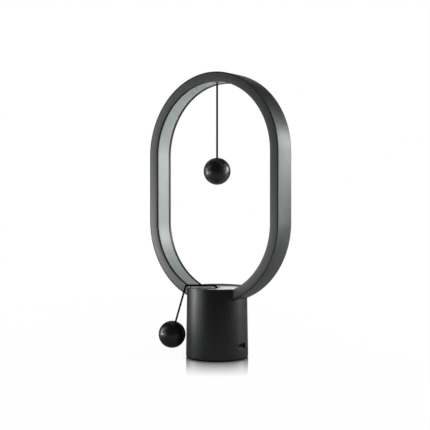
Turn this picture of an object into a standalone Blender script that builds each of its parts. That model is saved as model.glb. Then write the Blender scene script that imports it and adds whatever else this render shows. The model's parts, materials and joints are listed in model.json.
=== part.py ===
"""Magnetic balance lamp: a lit stadium ring in a round base, with two corded magnet balls.

Metres, +Z up. The origin is the centre of the foot's underside. The ring stands in the XZ
plane, its front face looks along -Y, and the power socket looks along +X.
"""
import math

import bmesh
import bpy
import numpy as np
from mathutils import Matrix, Vector

# Clearances and edges that many pieces share
GAP = 0.0003
FIT = 0.0002
CUT_OVERRUN = 0.004
EDGE = 0.0004
SHARP_DEGREES = 32
CUT_TURN_SHARE = 0.3
ROD_TURN_SHARE = 0.6
ROUND_STEPS = 20
SMALL_STEPS = 10
BUSH_STEPS = 16
WELD = 0.000001
MILLIMETRE = 0.001

# Overall sizes
LAMP_HEIGHT = 0.245
RING_WIDTH = 0.140
RING_BAND = 0.0083
RING_DEPTH = 0.0194
RING_SEAT_DEPTH = 0.0136
BASE_HEIGHT = 0.0604
BASE_TOP_DIAMETER = 0.052
BASE_FLARE = 0.001
BALL_DIAMETER = 0.0234
CORD_DIAMETER = 0.0016

# Ring: channel, cover, diffuser and lamp strip
RING_EDGE = 0.0005
RING_WALL = 0.0018
RING_RIM = 0.0009
REAR_LIP = 0.0020
COVER_THICKNESS = 0.0018
DIFFUSER_RECESS = 0.0005
DIFFUSER_THICKNESS = 0.0012
ARC_STEPS = 28
STRIP_WIDTH = 0.008
STRIP_THICKNESS = 0.0004
STRIP_END_ANGLE = 18
LED_INSET = 0.0014
LED_HEIGHT = 0.0007
LEAD_DIAMETER = 0.001

# Upper pendulum
UPPER_CORD_VISIBLE = 0.0647
BUSH_BARREL_DIAMETER = 0.0034
BUSH_FLANGE_DIAMETER = 0.006
BUSH_FLANGE_THICKNESS = 0.0008
BEAD_DIAMETER = 0.002
KNOT_DIAMETER = 0.0038
KNOT_HEIGHT = 0.002
STOP_DIAMETER = 0.0032
STOP_HEIGHT = 0.0014

# Balls: two lapped halves and a disc magnet
BALL_WALL = 0.002
BALL_LAP = 0.0009
BALL_LAP_HEIGHT = 0.0014
BALL_SIDES = 24
BALL_OUTER_STEPS = 6
BALL_INNER_STEPS = 2
MAGNET_DIAMETER = 0.008
MAGNET_THICKNESS = 0.003
MAGNET_POCKET_WALL = 0.0009
MAGNET_FLOOR = 0.0028

# Lower cord and ball at rest, hanging over the rim
LOWER_SWIVEL_DEGREES = 220
LOWER_BALL_HEIGHT = 0.0192
LOWER_BALL_GAP = 0.0006
STUB_END_GAP = 0.001

# Base shell
FOOT_LIFT = 0.001
SHELL_WALL = 0.0016
RIM_WIDTH = 0.0014
RIM_STEP = 0.0009
LEDGE_WIDTH = 0.0014
LEDGE_THICKNESS = 0.0015
PLATE_THICKNESS = 0.0012
SHELL_STEPS = 48
HIDDEN_STEPS = 36

# Foot, bottom cover and its screws
PAD_INSET = 0.0006
PAD_THICKNESS = 0.0012
COVER_PLATE_THICKNESS = 0.002
POST_DIAMETER = 0.0056
POST_INSET = 0.0026
POST_CAP = 0.003
POST_ANGLES = (60, 180, 300)
SCREW_SHANK_DIAMETER = 0.0022
SCREW_HEAD_DIAMETER = 0.0044
SCREW_HEAD_HEIGHT = 0.0012
SCREW_SLOT_WIDTH = 0.0008
SCREW_SLOT_DEPTH = 0.0005
COVER_SCREW_LENGTH = 0.008

# Ballast, control board and power socket
BALLAST_CLEARANCE = 0.001
BALLAST_PLATE_THICKNESS = 0.0045
BALLAST_STEP_CLEARANCE = 0.003
STANDOFF_DIAMETER = 0.0044
STANDOFF_INSET = 0.0035
STANDOFF_SIDE_INSET = 0.0029
BOARD_LENGTH = 0.0195
BOARD_WIDTH = 0.021
BOARD_THICKNESS = 0.0012
BOARD_INSET = 0.0039
BOARD_SCREW_LENGTH = 0.004
CHIP_LENGTH = 0.005
CHIP_WIDTH = 0.004
CHIP_HEIGHT = 0.0012
SOCKET_HEIGHT = 0.0118
SOCKET_OUTER_WIDTH = 0.0076
SOCKET_OUTER_HEIGHT = 0.0028
SOCKET_SHEET = 0.00035
SOCKET_CHAMFER = 0.0009
SOCKET_LENGTH = 0.0074
SOCKET_BLOCK_LENGTH = 0.0022
TONGUE_WIDTH = 0.0046
TONGUE_THICKNESS = 0.0006
TONGUE_LENGTH = 0.0042
POCKET_WIDTH = 0.0098
POCKET_HEIGHT = 0.0046
POCKET_CORNER = 0.001
POCKET_DEPTH = 0.0014

# Pull switch under the hole
GUIDE_SPIGOT_DIAMETER = 0.0054
GUIDE_FLANGE_DIAMETER = 0.012
GUIDE_FLANGE_THICKNESS = 0.0012
GUIDE_BARREL_DIAMETER = 0.008
GUIDE_BARREL_PROUD = 0.0001
GUIDE_STEM_BORE = 0.003
GUIDE_PISTON_BORE = 0.005
GUIDE_SHOULDER_DEPTH = 0.0043
CORD_HOLE_DEPTH = 0.0025
PLUNGER_STEM_DIAMETER = 0.0022
PLUNGER_PISTON_DIAMETER = 0.0044
PLUNGER_PISTON_LENGTH = 0.0057
PLUNGER_PROUD = 0.003
SPRING_WIRE_DIAMETER = 0.0005
SPRING_MEAN_DIAMETER = 0.0035
SPRING_TURNS = 6
SPRING_POINTS_PER_TURN = 8
LEVER_THICKNESS = 0.00035
LEVER_WIDTH = 0.0036
LEVER_TIP_X = 0.0008
LEVER_PIN_DIAMETER = 0.0008
SWITCH_WIDTH = 0.0058
SWITCH_HEIGHT = 0.0065
SWITCH_LENGTH = 0.0128
SWITCH_EAR_THICKNESS = 0.0007
SWITCH_EAR_LENGTH = 0.0024
BUTTON_OFFSET = 0.004
BUTTON_LENGTH = 0.0016
BUTTON_WIDTH = 0.0024
BUTTON_DEPTH = 0.0022
BUTTON_PROUD = 0.00095
BRACKET_SHEET = 0.0012
BRACKET_WIDTH = 0.009
BRACKET_HEIGHT = 0.0075
BRACKET_FOOT_LENGTH = 0.007
BRACKET_EDGE_INSET = 0.0033
BRACKET_SCREW_LENGTH = 0.006

# Saddle that carries the ring
SADDLE_FLOOR = 0.0029
SADDLE_HEIGHT = 0.0084
SADDLE_CHEEK = 0.0012
SADDLE_END_CLEARANCE = 0.0012
SADDLE_EAR_LENGTH = 0.008
SADDLE_EAR_MARGIN = 0.0032
SADDLE_EAR_THICKNESS = 0.0018
SADDLE_SCREW_LENGTH = 0.008
RIB_LENGTH = 0.006
RIB_MARGIN = 0.0028
RIB_CLEARANCE = 0.002
RING_SCREW_SPACING = 0.0055
RING_SCREW_RECESS = 0.0019
RING_SCREW_LENGTH = 0.0066
RING_BOSS_DIAMETER = 0.006
RING_BOSS_CAP = 0.0007
WIRE_HOLE_INSET = 0.003
WIRE_HOLE_LENGTH = 0.0024
WIRE_HOLE_WIDTH = 0.005
LEAD_SPACING = 0.0026

# Ring: what follows from the sizes above
RING_RADIUS = RING_WIDTH / 2
RING_INNER = RING_RADIUS - RING_BAND
RING_HALF_DEPTH = RING_DEPTH / 2
RING_BOTTOM = BASE_HEIGHT - RING_SEAT_DEPTH
ARC_LOW_Z = RING_BOTTOM + RING_RADIUS
ARC_TOP_Z = LAMP_HEIGHT - RING_RADIUS
RING_STRAIGHT = ARC_TOP_Z - ARC_LOW_Z
COVER_BACK_Y = -RING_HALF_DEPTH + COVER_THICKNESS
REAR_LIP_Y = RING_HALF_DEPTH - REAR_LIP
DIFFUSER_INNER = RING_INNER + DIFFUSER_RECESS
DIFFUSER_OUTER = DIFFUSER_INNER + DIFFUSER_THICKNESS
STRIP_OUTER = RING_RADIUS - RING_WALL - GAP
STRIP_INNER = STRIP_OUTER - STRIP_THICKNESS

# Balls and cords: what follows
BALL_RADIUS = BALL_DIAMETER / 2
CORD_RADIUS = CORD_DIAMETER / 2
CORD_BORE = CORD_RADIUS + GAP
SCREW_BORE = SCREW_SHANK_DIAMETER / 2 + GAP
BEAD_TOP = ARC_TOP_Z + DIFFUSER_INNER - 2 * GAP
UPPER_PIVOT_Z = BEAD_TOP - BEAD_DIAMETER / 2
UPPER_BALL_Z = ARC_TOP_Z + RING_INNER - UPPER_CORD_VISIBLE - BALL_RADIUS
KNEE_REACH = BASE_TOP_DIAMETER / 2 + CORD_RADIUS + GAP
KNEE_HEIGHT = BASE_HEIGHT + CORD_RADIUS + GAP

# Base: what follows, from the rim down to the ballast and out to the wall
PLATE_TOP = BASE_HEIGHT - RIM_STEP
PLATE_BOTTOM = PLATE_TOP - PLATE_THICKNESS
RIM_INNER = BASE_TOP_DIAMETER / 2 - RIM_WIDTH
SHELL_INNER = BASE_TOP_DIAMETER / 2 - SHELL_WALL
SHELL_FOOT_RADIUS = BASE_TOP_DIAMETER / 2 + BASE_FLARE
BALLAST_RADIUS = SHELL_INNER - BALLAST_CLEARANCE
SADDLE_BOTTOM = RING_BOTTOM - GAP - SADDLE_FLOOR
SADDLE_CHEEK_TOP = SADDLE_BOTTOM + SADDLE_HEIGHT
SADDLE_SIDE = RING_HALF_DEPTH + GAP + SADDLE_CHEEK
SADDLE_HALF_LENGTH = math.sqrt(SHELL_INNER**2 - SADDLE_SIDE**2) - SADDLE_END_CLEARANCE
SADDLE_SCREW_REACH = (SADDLE_SIDE + SHELL_INNER) / 2
SADDLE_EAR_REACH = SADDLE_SCREW_REACH + SADDLE_EAR_MARGIN
RIB_INNER_REACH = SADDLE_SCREW_REACH - RIB_MARGIN
WIRE_HOLE_X = SADDLE_HALF_LENGTH - WIRE_HOLE_INSET
RING_SCREW_X = WIRE_HOLE_X - RING_SCREW_SPACING
RING_SCREW_SEAT = SADDLE_BOTTOM + RING_SCREW_RECESS
RING_SCREW_TIP = RING_SCREW_SEAT - GAP + RING_SCREW_LENGTH
RING_BOSS_TOP = RING_SCREW_TIP + 2 * GAP + RING_BOSS_CAP
GUIDE_BARREL_BOTTOM = SADDLE_BOTTOM - GUIDE_BARREL_PROUD
GUIDE_SHOULDER = PLATE_TOP - GUIDE_SHOULDER_DEPTH
PLUNGER_TOP = PLATE_TOP - CORD_HOLE_DEPTH
PLUNGER_BOTTOM = GUIDE_BARREL_BOTTOM - PLUNGER_PROUD
PLUNGER_PISTON_TOP = PLUNGER_BOTTOM + PLUNGER_PISTON_LENGTH
LEVER_Z = PLUNGER_BOTTOM - GAP - LEVER_THICKNESS / 2
LEVER_PIN_BORE = LEVER_PIN_DIAMETER / 2 + GAP
BUTTON_TOP = LEVER_Z - LEVER_THICKNESS / 2 - GAP
SWITCH_TOP = BUTTON_TOP - BUTTON_PROUD
SWITCH_BOTTOM = SWITCH_TOP - SWITCH_HEIGHT
SHELF_TOP = SWITCH_BOTTOM - GAP
BRACKET_FOOT_BOTTOM = SHELF_TOP - BRACKET_HEIGHT
BALLAST_TOP = BRACKET_FOOT_BOTTOM - GAP
RIB_BOTTOM = BALLAST_TOP + RIB_CLEARANCE

# Base: what follows, from the foot up
COVER_PLATE_BOTTOM = PAD_THICKNESS + GAP
COVER_PLATE_TOP = COVER_PLATE_BOTTOM + COVER_PLATE_THICKNESS
COVER_SCREW_SEAT = COVER_PLATE_BOTTOM + SCREW_HEAD_HEIGHT
BALLAST_BOTTOM = COVER_PLATE_TOP + GAP
POST_REACH = SHELL_INNER - POST_INSET
POST_TOP = COVER_SCREW_SEAT + COVER_SCREW_LENGTH + GAP + POST_CAP
BOARD_TOP = SOCKET_HEIGHT - SOCKET_OUTER_HEIGHT / 2 - GAP
BOARD_BOTTOM = BOARD_TOP - BOARD_THICKNESS

# Places along X inside the base: bracket and switch on the left, board on the right
BRACKET_FOOT_LEFT = BRACKET_EDGE_INSET - BALLAST_RADIUS
BRACKET_FOOT_RIGHT = BRACKET_FOOT_LEFT + BRACKET_FOOT_LENGTH
BRACKET_SCREW_X = (BRACKET_FOOT_LEFT + BRACKET_FOOT_RIGHT) / 2
SWITCH_LEFT = BRACKET_FOOT_RIGHT + BRACKET_SHEET + GAP
SWITCH_RIGHT = SWITCH_LEFT + SWITCH_LENGTH
LEVER_PIVOT_X = SWITCH_LEFT + EDGE + SWITCH_EAR_LENGTH / 2
BUTTON_X = LEVER_PIVOT_X + BUTTON_OFFSET
BOARD_OUTER_X = SHELL_INNER - BOARD_INSET
BOARD_INNER_X = BOARD_OUTER_X - BOARD_LENGTH
BALLAST_STEP_X = BOARD_INNER_X - BALLAST_STEP_CLEARANCE
STANDOFF_X = BOARD_INNER_X + STANDOFF_INSET
STANDOFF_Y = BOARD_WIDTH / 2 - STANDOFF_SIDE_INSET
CHIP_X = STANDOFF_X + SCREW_HEAD_DIAMETER / 2 + EDGE


def shell_radius(height):
    """The base narrows evenly from its lower edge to its rim."""
    share = (height - FOOT_LIFT - EDGE) / (BASE_HEIGHT - FOOT_LIFT - 2 * EDGE)
    return SHELL_FOOT_RADIUS - BASE_FLARE * share


def pocket_floor_x():
    """The pocket round the power socket is cut square to X into the round shell."""
    return shell_radius(SOCKET_HEIGHT) - POCKET_DEPTH


def clear_scene():
    for old in list(bpy.data.objects):
        bpy.data.objects.remove(old, do_unlink=True)


def material(name, colour, roughness, metallic=0.0):
    made = bpy.data.materials.new(name)
    made.use_nodes = True
    shader = made.node_tree.nodes["Principled BSDF"]
    shader.inputs["Base Color"].default_value = (*colour, 1.0)
    shader.inputs["Roughness"].default_value = roughness
    shader.inputs["Metallic"].default_value = metallic
    made.diffuse_color = (*colour, 1.0)
    return made


def finish_mesh(name, shape, look, smooth=True):
    """The bmesh as a named object with outward faces."""
    bmesh.ops.remove_doubles(shape, verts=shape.verts, dist=WELD)
    bmesh.ops.recalc_face_normals(shape, faces=shape.faces)
    mesh = bpy.data.meshes.new(name)
    shape.to_mesh(mesh)
    shape.free()
    if smooth:
        mesh.shade_smooth()
        mesh.set_sharp_from_angle(angle=math.radians(SHARP_DEGREES))
    made = bpy.data.objects.new(name, mesh)
    if look is not None:
        mesh.materials.append(look)
    bpy.context.scene.collection.objects.link(made)
    return made


def turned_shape(profile, steps, centre=(0, 0), turn_share=0):
    """A closed profile of (radius, height) points, spun once about a vertical axis.

    A flat end becomes one face, without a point at its centre. Cutters and rods start at
    their own share of a step, so that no corner lies in line with one of the piece they meet.
    """
    shape = bmesh.new()
    x, y = centre
    start = turn_share * math.tau / steps
    ring = [
        shape.verts.new((x + radius * math.cos(start), y + radius * math.sin(start), height))
        for radius, height in profile
    ]
    edges = [shape.edges.new((a, b)) for a, b in zip(ring, ring[1:] + ring[:1])]
    bmesh.ops.spin(
        shape,
        geom=ring + edges,
        cent=(x, y, 0),
        axis=(0, 0, 1),
        angle=math.tau,
        steps=steps,
        use_merge=True,
    )
    bmesh.ops.remove_doubles(shape, verts=shape.verts, dist=WELD)
    bmesh.ops.recalc_face_normals(shape, faces=shape.faces)
    level_along(shape, 2, [height for _, height in profile])
    flat_centres = [
        v for v in shape.verts
        if math.hypot(v.co.x - x, v.co.y - y) < WELD
        and all(abs(e.other_vert(v).co.z - v.co.z) < WELD for e in v.link_edges)
    ]
    bmesh.ops.dissolve_verts(shape, verts=flat_centres)
    on_axis = [e for e in shape.edges if not e.link_faces]
    bmesh.ops.delete(shape, geom=on_axis, context="EDGES")
    bmesh.ops.delete(shape, geom=[v for v in shape.verts if not v.link_edges], context="VERTS")
    return shape


def level_along(shape, axis, levels):
    """Takes out the spin's rounding along its axis, so that flat faces are exactly flat."""
    for vert in shape.verts:
        vert.co[axis] = min(levels, key=lambda level: abs(level - vert.co[axis]))


def turned(name, profile, look, steps=ROUND_STEPS, centre=(0, 0)):
    return finish_mesh(name, turned_shape(profile, steps, centre), look)


def rod_profile(radius, low, high):
    return [(0, low), (radius, low), (radius, high), (0, high)]


def box_shape(low, high):
    shape = bmesh.new()
    size = Vector(high) - Vector(low)
    centre = (Vector(high) + Vector(low)) / 2
    place = Matrix.Translation(centre) @ Matrix.Diagonal((*size, 1))
    bmesh.ops.create_cube(shape, size=1, matrix=place)
    return shape


def box(name, low, high, look, edge=0):
    shape = box_shape(low, high)
    if edge:
        bmesh.ops.bevel(
            shape, geom=shape.edges[:], offset=edge, segments=1, affect="EDGES"
        )
    return finish_mesh(name, shape, look)


def extruded_shape(outline, along, low, high):
    """An outline in the plane square to X or Y, extruded along that axis."""
    shape = bmesh.new()
    if along == "X":
        points = [(low, a, b) for a, b in outline]
        travel = (high - low, 0, 0)
    else:
        points = [(a, low, b) for a, b in outline]
        travel = (0, high - low, 0)
    face = shape.faces.new([shape.verts.new(p) for p in points])
    grown = bmesh.ops.extrude_face_region(shape, geom=[face], use_keep_orig=True)
    moved = [v for v in grown["geom"] if isinstance(v, bmesh.types.BMVert)]
    bmesh.ops.translate(shape, verts=moved, vec=travel)
    return shape


def rounded_outline(width, height, corner, centre=(0, 0), steps=4):
    """A rectangle with round corners, as points in order."""
    points = []
    for quarter in range(4):
        sx, sy = ((1, 1), (-1, 1), (-1, -1), (1, -1))[quarter]
        cx = centre[0] + sx * (width / 2 - corner)
        cy = centre[1] + sy * (height / 2 - corner)
        for k in range(steps + 1):
            angle = math.pi / 2 * (quarter + k / steps)
            points.append((cx + corner * math.cos(angle), cy + corner * math.sin(angle)))
    return points


def ring_shape(profile, open_degrees=0, steps=ARC_STEPS):
    """A profile of (distance from the arcs' centre, depth) carried round the stadium.

    With open_degrees the loop stays open at the bottom by that angle on each side.
    """
    shape = bmesh.new()
    ring = [shape.verts.new((radius, y, ARC_TOP_Z)) for radius, y in profile]
    edges = [shape.edges.new((a, b)) for a, b in zip(ring, ring[1:] + ring[:1])]
    start = [v.co.copy() for v in ring]

    def arc(geom, centre_z, angle, count):
        made = bmesh.ops.spin(
            shape, geom=geom, cent=(0, 0, centre_z), axis=(0, -1, 0), angle=angle, steps=count
        )
        return made["geom_last"]

    def straight(geom, step, count):
        for _ in range(count):
            made = bmesh.ops.extrude_edge_only(
                shape, edges=[e for e in geom if isinstance(e, bmesh.types.BMEdge)]
            )
            moved = [v for v in made["geom"] if isinstance(v, bmesh.types.BMVert)]
            bmesh.ops.translate(shape, verts=moved, vec=(0, 0, step / count))
            geom = moved + [e for e in made["geom"] if isinstance(e, bmesh.types.BMEdge)
                            and all(v in moved for v in e.verts)]
        return geom

    last = arc(ring + edges, ARC_TOP_Z, math.pi, steps)
    if not open_degrees:
        last = straight(last, -RING_STRAIGHT, 1)
        last = arc(last, ARC_LOW_Z, math.pi, steps)
        straight(last, RING_STRAIGHT, 1)
        bmesh.ops.remove_doubles(shape, verts=shape.verts, dist=WELD)
        level_along(shape, 1, [y for _, y in profile])
        return shape

    low_arc = math.radians(90 - open_degrees)
    arc_steps = round(steps * low_arc / math.pi)
    straight_steps = max(1, round(RING_STRAIGHT / (math.pi * RING_RADIUS / steps)))
    last = straight(last, -RING_STRAIGHT, straight_steps)
    ends = [arc(last, ARC_LOW_Z, low_arc, arc_steps)]
    back = [shape.verts.new(p) for p in start]
    other = back + [shape.edges.new((a, b)) for a, b in zip(back, back[1:] + back[:1])]
    other = straight(other, -RING_STRAIGHT, straight_steps)
    ends.append(arc(other, ARC_LOW_Z, -low_arc, arc_steps))
    for end in ends:
        rim = [e for e in end if isinstance(e, bmesh.types.BMEdge)]
        bmesh.ops.contextual_create(shape, geom=rim)
    bmesh.ops.remove_doubles(shape, verts=shape.verts, dist=WELD)
    return shape


def smooth_points(points, count):
    """Points at even steps of a smooth curve through a short list of route points."""
    route = np.array(points, float)
    ends = np.vstack([2 * route[0] - route[1], route, 2 * route[-1] - route[-2]])
    fine = []
    for k in range(1, len(ends) - 2):
        a, b, c, d = ends[k - 1 : k + 3]
        t = np.linspace(0, 1, SMALL_STEPS, endpoint=False)[:, None]
        fine.append(
            (2 * b + (c - a) * t + (2 * a - 5 * b + 4 * c - d) * t**2
             + (3 * b - a - 3 * c + d) * t**3) / 2
        )
    fine = np.vstack(fine + [ends[-2][None]])
    along = np.concatenate([[0], np.cumsum(np.linalg.norm(np.diff(fine, axis=0), axis=1))])
    wanted = np.linspace(0, along[-1], count)
    return np.stack([np.interp(wanted, along, fine[:, k]) for k in range(3)], axis=1)


def tube(name, points, diameter, look, sides_level=2):
    """A round tube with closed ends along the points."""
    curve = bpy.data.curves.new(name, "CURVE")
    curve.dimensions = "3D"
    curve.bevel_depth = diameter / 2
    curve.bevel_resolution = sides_level
    curve.use_fill_caps = True
    line = curve.splines.new("POLY")
    line.points.add(len(points) - 1)
    for spot, place in zip(line.points, points):
        spot.co = (*place, 1)
    curve.materials.append(look)
    made = bpy.data.objects.new(name, curve)
    bpy.context.scene.collection.objects.link(made)
    return made


def boolean(target, tool, operation="DIFFERENCE"):
    """The tool is a guide that stays out of the model."""
    tool.hide_render = True
    tool.display_type = "WIRE"
    step = target.modifiers.new(tool.name, "BOOLEAN")
    step.operation = operation
    step.solver = "EXACT"
    step.object = tool


def drill(target, label, radius, low, high, centre=(0, 0), steps=SMALL_STEPS):
    shape = turned_shape(rod_profile(radius, low, high), steps, centre, CUT_TURN_SHARE)
    boolean(target, finish_mesh(f"{target.name}_{label}_cut", shape, None, smooth=False))


def drill_for_head_below(target, label, low, seat, high, centre):
    """A screw's hole with a wider seat for its head on the lower side."""
    head = SCREW_HEAD_DIAMETER / 2 + GAP
    profile = [(0, low), (head, low), (head, seat), (SCREW_BORE, seat), (SCREW_BORE, high),
               (0, high)]
    shape = turned_shape(profile, SMALL_STEPS, centre, CUT_TURN_SHARE)
    boolean(target, finish_mesh(f"{target.name}_{label}_cut", shape, None, smooth=False))


def join_rod(target, label, radius, low, high, centre):
    """A round boss or post that becomes part of the target."""
    shape = turned_shape(rod_profile(radius, low, high), SMALL_STEPS, centre, ROD_TURN_SHARE)
    boolean(target, finish_mesh(f"{target.name}_{label}", shape, None, smooth=False), "UNION")


def join_box(target, label, low, high):
    shape = box_shape(low, high)
    boolean(target, finish_mesh(f"{target.name}_{label}", shape, None, smooth=False), "UNION")


def cut_box(target, label, low, high):
    shape = box_shape(low, high)
    boolean(target, finish_mesh(f"{target.name}_{label}_cut", shape, None, smooth=False))


def pivot(name, place, parent=None):
    """An empty on a joint's axis."""
    made = bpy.data.objects.new(name, None)
    bpy.context.scene.collection.objects.link(made)
    made.location = place
    if parent is not None:
        made.parent = parent
        made.location = Vector(place) - parent.matrix_world.translation
    bpy.context.view_layer.update()
    return made


def hang_on(child, parent):
    """Parent a piece that is modelled in the world's frame, and keep its place."""
    child.parent = parent
    child.matrix_parent_inverse = parent.matrix_world.inverted()


def screw(name, head_under, shank_length, look, centre, up=1):
    """A slotted pan-head screw. up is +1 where the head is above its shank, else -1."""
    head = SCREW_HEAD_DIAMETER / 2
    shank = SCREW_SHANK_DIAMETER / 2
    profile = [
        (0, head_under + up * SCREW_HEAD_HEIGHT),
        (head - EDGE, head_under + up * SCREW_HEAD_HEIGHT),
        (head, head_under + up * (SCREW_HEAD_HEIGHT - EDGE)),
        (head, head_under),
        (shank, head_under),
        (shank, head_under - up * shank_length),
        (0, head_under - up * shank_length),
    ]
    made = turned(name, profile, look, SMALL_STEPS, centre)
    slot_low = head_under + up * (SCREW_HEAD_HEIGHT - SCREW_SLOT_DEPTH)
    slot_high = head_under + up * (SCREW_HEAD_HEIGHT + CUT_OVERRUN)
    x, y = centre
    cut_box(
        made,
        "slot",
        (x - head - EDGE, y - SCREW_SLOT_WIDTH / 2, min(slot_low, slot_high)),
        (x + head + EDGE, y + SCREW_SLOT_WIDTH / 2, max(slot_low, slot_high)),
    )
    return made


def make_ring(looks):
    """Channel, front cover, diffuser and lamp strip, all carried round one stadium."""
    channel = finish_mesh("ring_channel", ring_shape([
        (RING_RADIUS - RING_RIM, -RING_HALF_DEPTH),
        (RING_RADIUS - RING_EDGE, -RING_HALF_DEPTH),
        (RING_RADIUS, -RING_HALF_DEPTH + RING_EDGE),
        (RING_RADIUS, RING_HALF_DEPTH - RING_EDGE),
        (RING_RADIUS - RING_EDGE, RING_HALF_DEPTH),
        (RING_INNER + RING_EDGE, RING_HALF_DEPTH),
        (RING_INNER, RING_HALF_DEPTH - RING_EDGE),
        (RING_INNER, REAR_LIP_Y),
        (RING_RADIUS - RING_WALL, REAR_LIP_Y),
        (RING_RADIUS - RING_WALL, COVER_BACK_Y + GAP),
        (RING_RADIUS - RING_RIM, COVER_BACK_Y + GAP),
    ]), looks["ring"])
    boss_bottom = ARC_LOW_Z - math.sqrt(RING_RADIUS**2 - RING_SCREW_X**2) + RING_WALL / 2
    for label, side in (("left", -1), ("right", 1)):
        centre = (side * RING_SCREW_X, 0)
        join_rod(channel, f"{label}_boss", RING_BOSS_DIAMETER / 2, boss_bottom,
                 RING_BOSS_TOP, centre)
        drill(channel, f"{label}_screw", SCREW_BORE, RING_BOTTOM - CUT_OVERRUN,
              RING_SCREW_TIP + 2 * GAP, centre)
    drill(channel, "guide", GUIDE_BARREL_DIAMETER / 2 + GAP, GUIDE_BARREL_BOTTOM,
          RING_BOSS_TOP + CUT_OVERRUN, steps=ROUND_STEPS)
    cut_box(channel, "wire",
            (WIRE_HOLE_X - WIRE_HOLE_LENGTH / 2, -WIRE_HOLE_WIDTH / 2, SADDLE_BOTTOM),
            (WIRE_HOLE_X + WIRE_HOLE_LENGTH / 2, WIRE_HOLE_WIDTH / 2, RING_BOSS_TOP))

    finish_mesh("ring_front_cover", ring_shape([
        (RING_RADIUS - RING_RIM - GAP, -RING_HALF_DEPTH),
        (RING_INNER + RING_EDGE, -RING_HALF_DEPTH),
        (RING_INNER, -RING_HALF_DEPTH + RING_EDGE),
        (RING_INNER, COVER_BACK_Y),
        (RING_RADIUS - RING_RIM - GAP, COVER_BACK_Y),
    ]), looks["ring"])

    diffuser = finish_mesh("ring_diffuser", ring_shape([
        (DIFFUSER_INNER, COVER_BACK_Y + GAP),
        (DIFFUSER_INNER, REAR_LIP_Y - GAP),
        (DIFFUSER_OUTER, REAR_LIP_Y - GAP),
        (DIFFUSER_OUTER, COVER_BACK_Y + GAP),
    ]), looks["diffuser"])
    drill(diffuser, "bush", BUSH_BARREL_DIAMETER / 2 + GAP, ARC_TOP_Z + RING_INNER,
          ARC_TOP_Z + DIFFUSER_OUTER + CUT_OVERRUN)
    drill(diffuser, "guide", GUIDE_BARREL_DIAMETER / 2 + GAP, GUIDE_BARREL_BOTTOM,
          PLATE_BOTTOM, steps=ROUND_STEPS)

    make_strip(looks)


def make_strip(looks):
    """An open strip whose LEDs are raised from its inner face, one on every other step."""
    half = STRIP_WIDTH / 2
    shape = ring_shape([
        (STRIP_OUTER, -half), (STRIP_OUTER, half), (STRIP_INNER, half), (STRIP_INNER, -half),
    ], open_degrees=STRIP_END_ANGLE)
    bmesh.ops.recalc_face_normals(shape, faces=shape.faces)

    def faces_inward(face):
        middle = face.calc_center_median()
        centre_z = min(max(middle.z, ARC_LOW_Z), ARC_TOP_Z)
        across = Vector((middle.x, 0, middle.z - centre_z)).normalized()
        return face.normal.dot(across) < -math.cos(math.pi / ARC_STEPS)

    seats = sorted((f for f in shape.faces if faces_inward(f)),
                   key=lambda f: loop_order(f.calc_center_median()))
    chosen = seats[1::2]
    bmesh.ops.inset_individual(shape, faces=chosen, thickness=LED_INSET)
    raised = bmesh.ops.extrude_discrete_faces(shape, faces=chosen)["faces"]
    for face in raised:
        face.normal_update()
        bmesh.ops.translate(shape, verts=face.verts[:], vec=face.normal * LED_HEIGHT)
    finish_mesh("led_strip", shape, looks["strip"])


def loop_order(place):
    """How far round the loop a place is, from the bottom by the right."""
    centre_z = min(max(place.z, ARC_LOW_Z), ARC_TOP_Z)
    angle = math.atan2(place.x, -(place.z - centre_z)) % math.tau
    rise = (centre_z - ARC_LOW_Z) * (1 if place.x > 0 else -1)
    return angle * RING_RADIUS + rise + (0 if place.x > 0 else 2 * RING_STRAIGHT)


def ball_half_profiles():
    """Profiles of the cap and the cup about the ball's centre, with the cord's hole on top."""
    outer, inner = BALL_RADIUS, BALL_RADIUS - BALL_WALL
    lap = inner + BALL_LAP
    half_seam = GAP / 2

    def arc(radius, start, stop, steps):
        return [
            (radius * math.cos(a), radius * math.sin(a)) for a in np.linspace(start, stop, steps + 1)
        ]

    cap = arc(outer, math.asin(half_seam / outer), math.acos(CORD_BORE / outer), BALL_OUTER_STEPS)
    cap_floor = BALL_LAP_HEIGHT + GAP
    cap += arc(inner, math.acos(CORD_BORE / inner), math.asin(cap_floor / inner), BALL_INNER_STEPS)
    cap += [(lap + GAP, cap_floor), (lap + GAP, half_seam)]

    pocket = MAGNET_DIAMETER / 2 + GAP
    pocket_outer = pocket + MAGNET_POCKET_WALL
    floor = -outer + MAGNET_FLOOR
    cup = arc(outer, -math.pi / 2, -math.asin(half_seam / outer), BALL_OUTER_STEPS)
    cup += [(lap, -half_seam), (lap, BALL_LAP_HEIGHT)]
    cup += arc(inner, math.asin(BALL_LAP_HEIGHT / inner), -math.acos(pocket_outer / inner),
               BALL_INNER_STEPS)
    cup += [
        (pocket_outer, floor + GAP + MAGNET_THICKNESS),
        (pocket, floor + GAP + MAGNET_THICKNESS),
        (pocket, floor),
        (0, floor),
    ]
    return cap, cup


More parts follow.
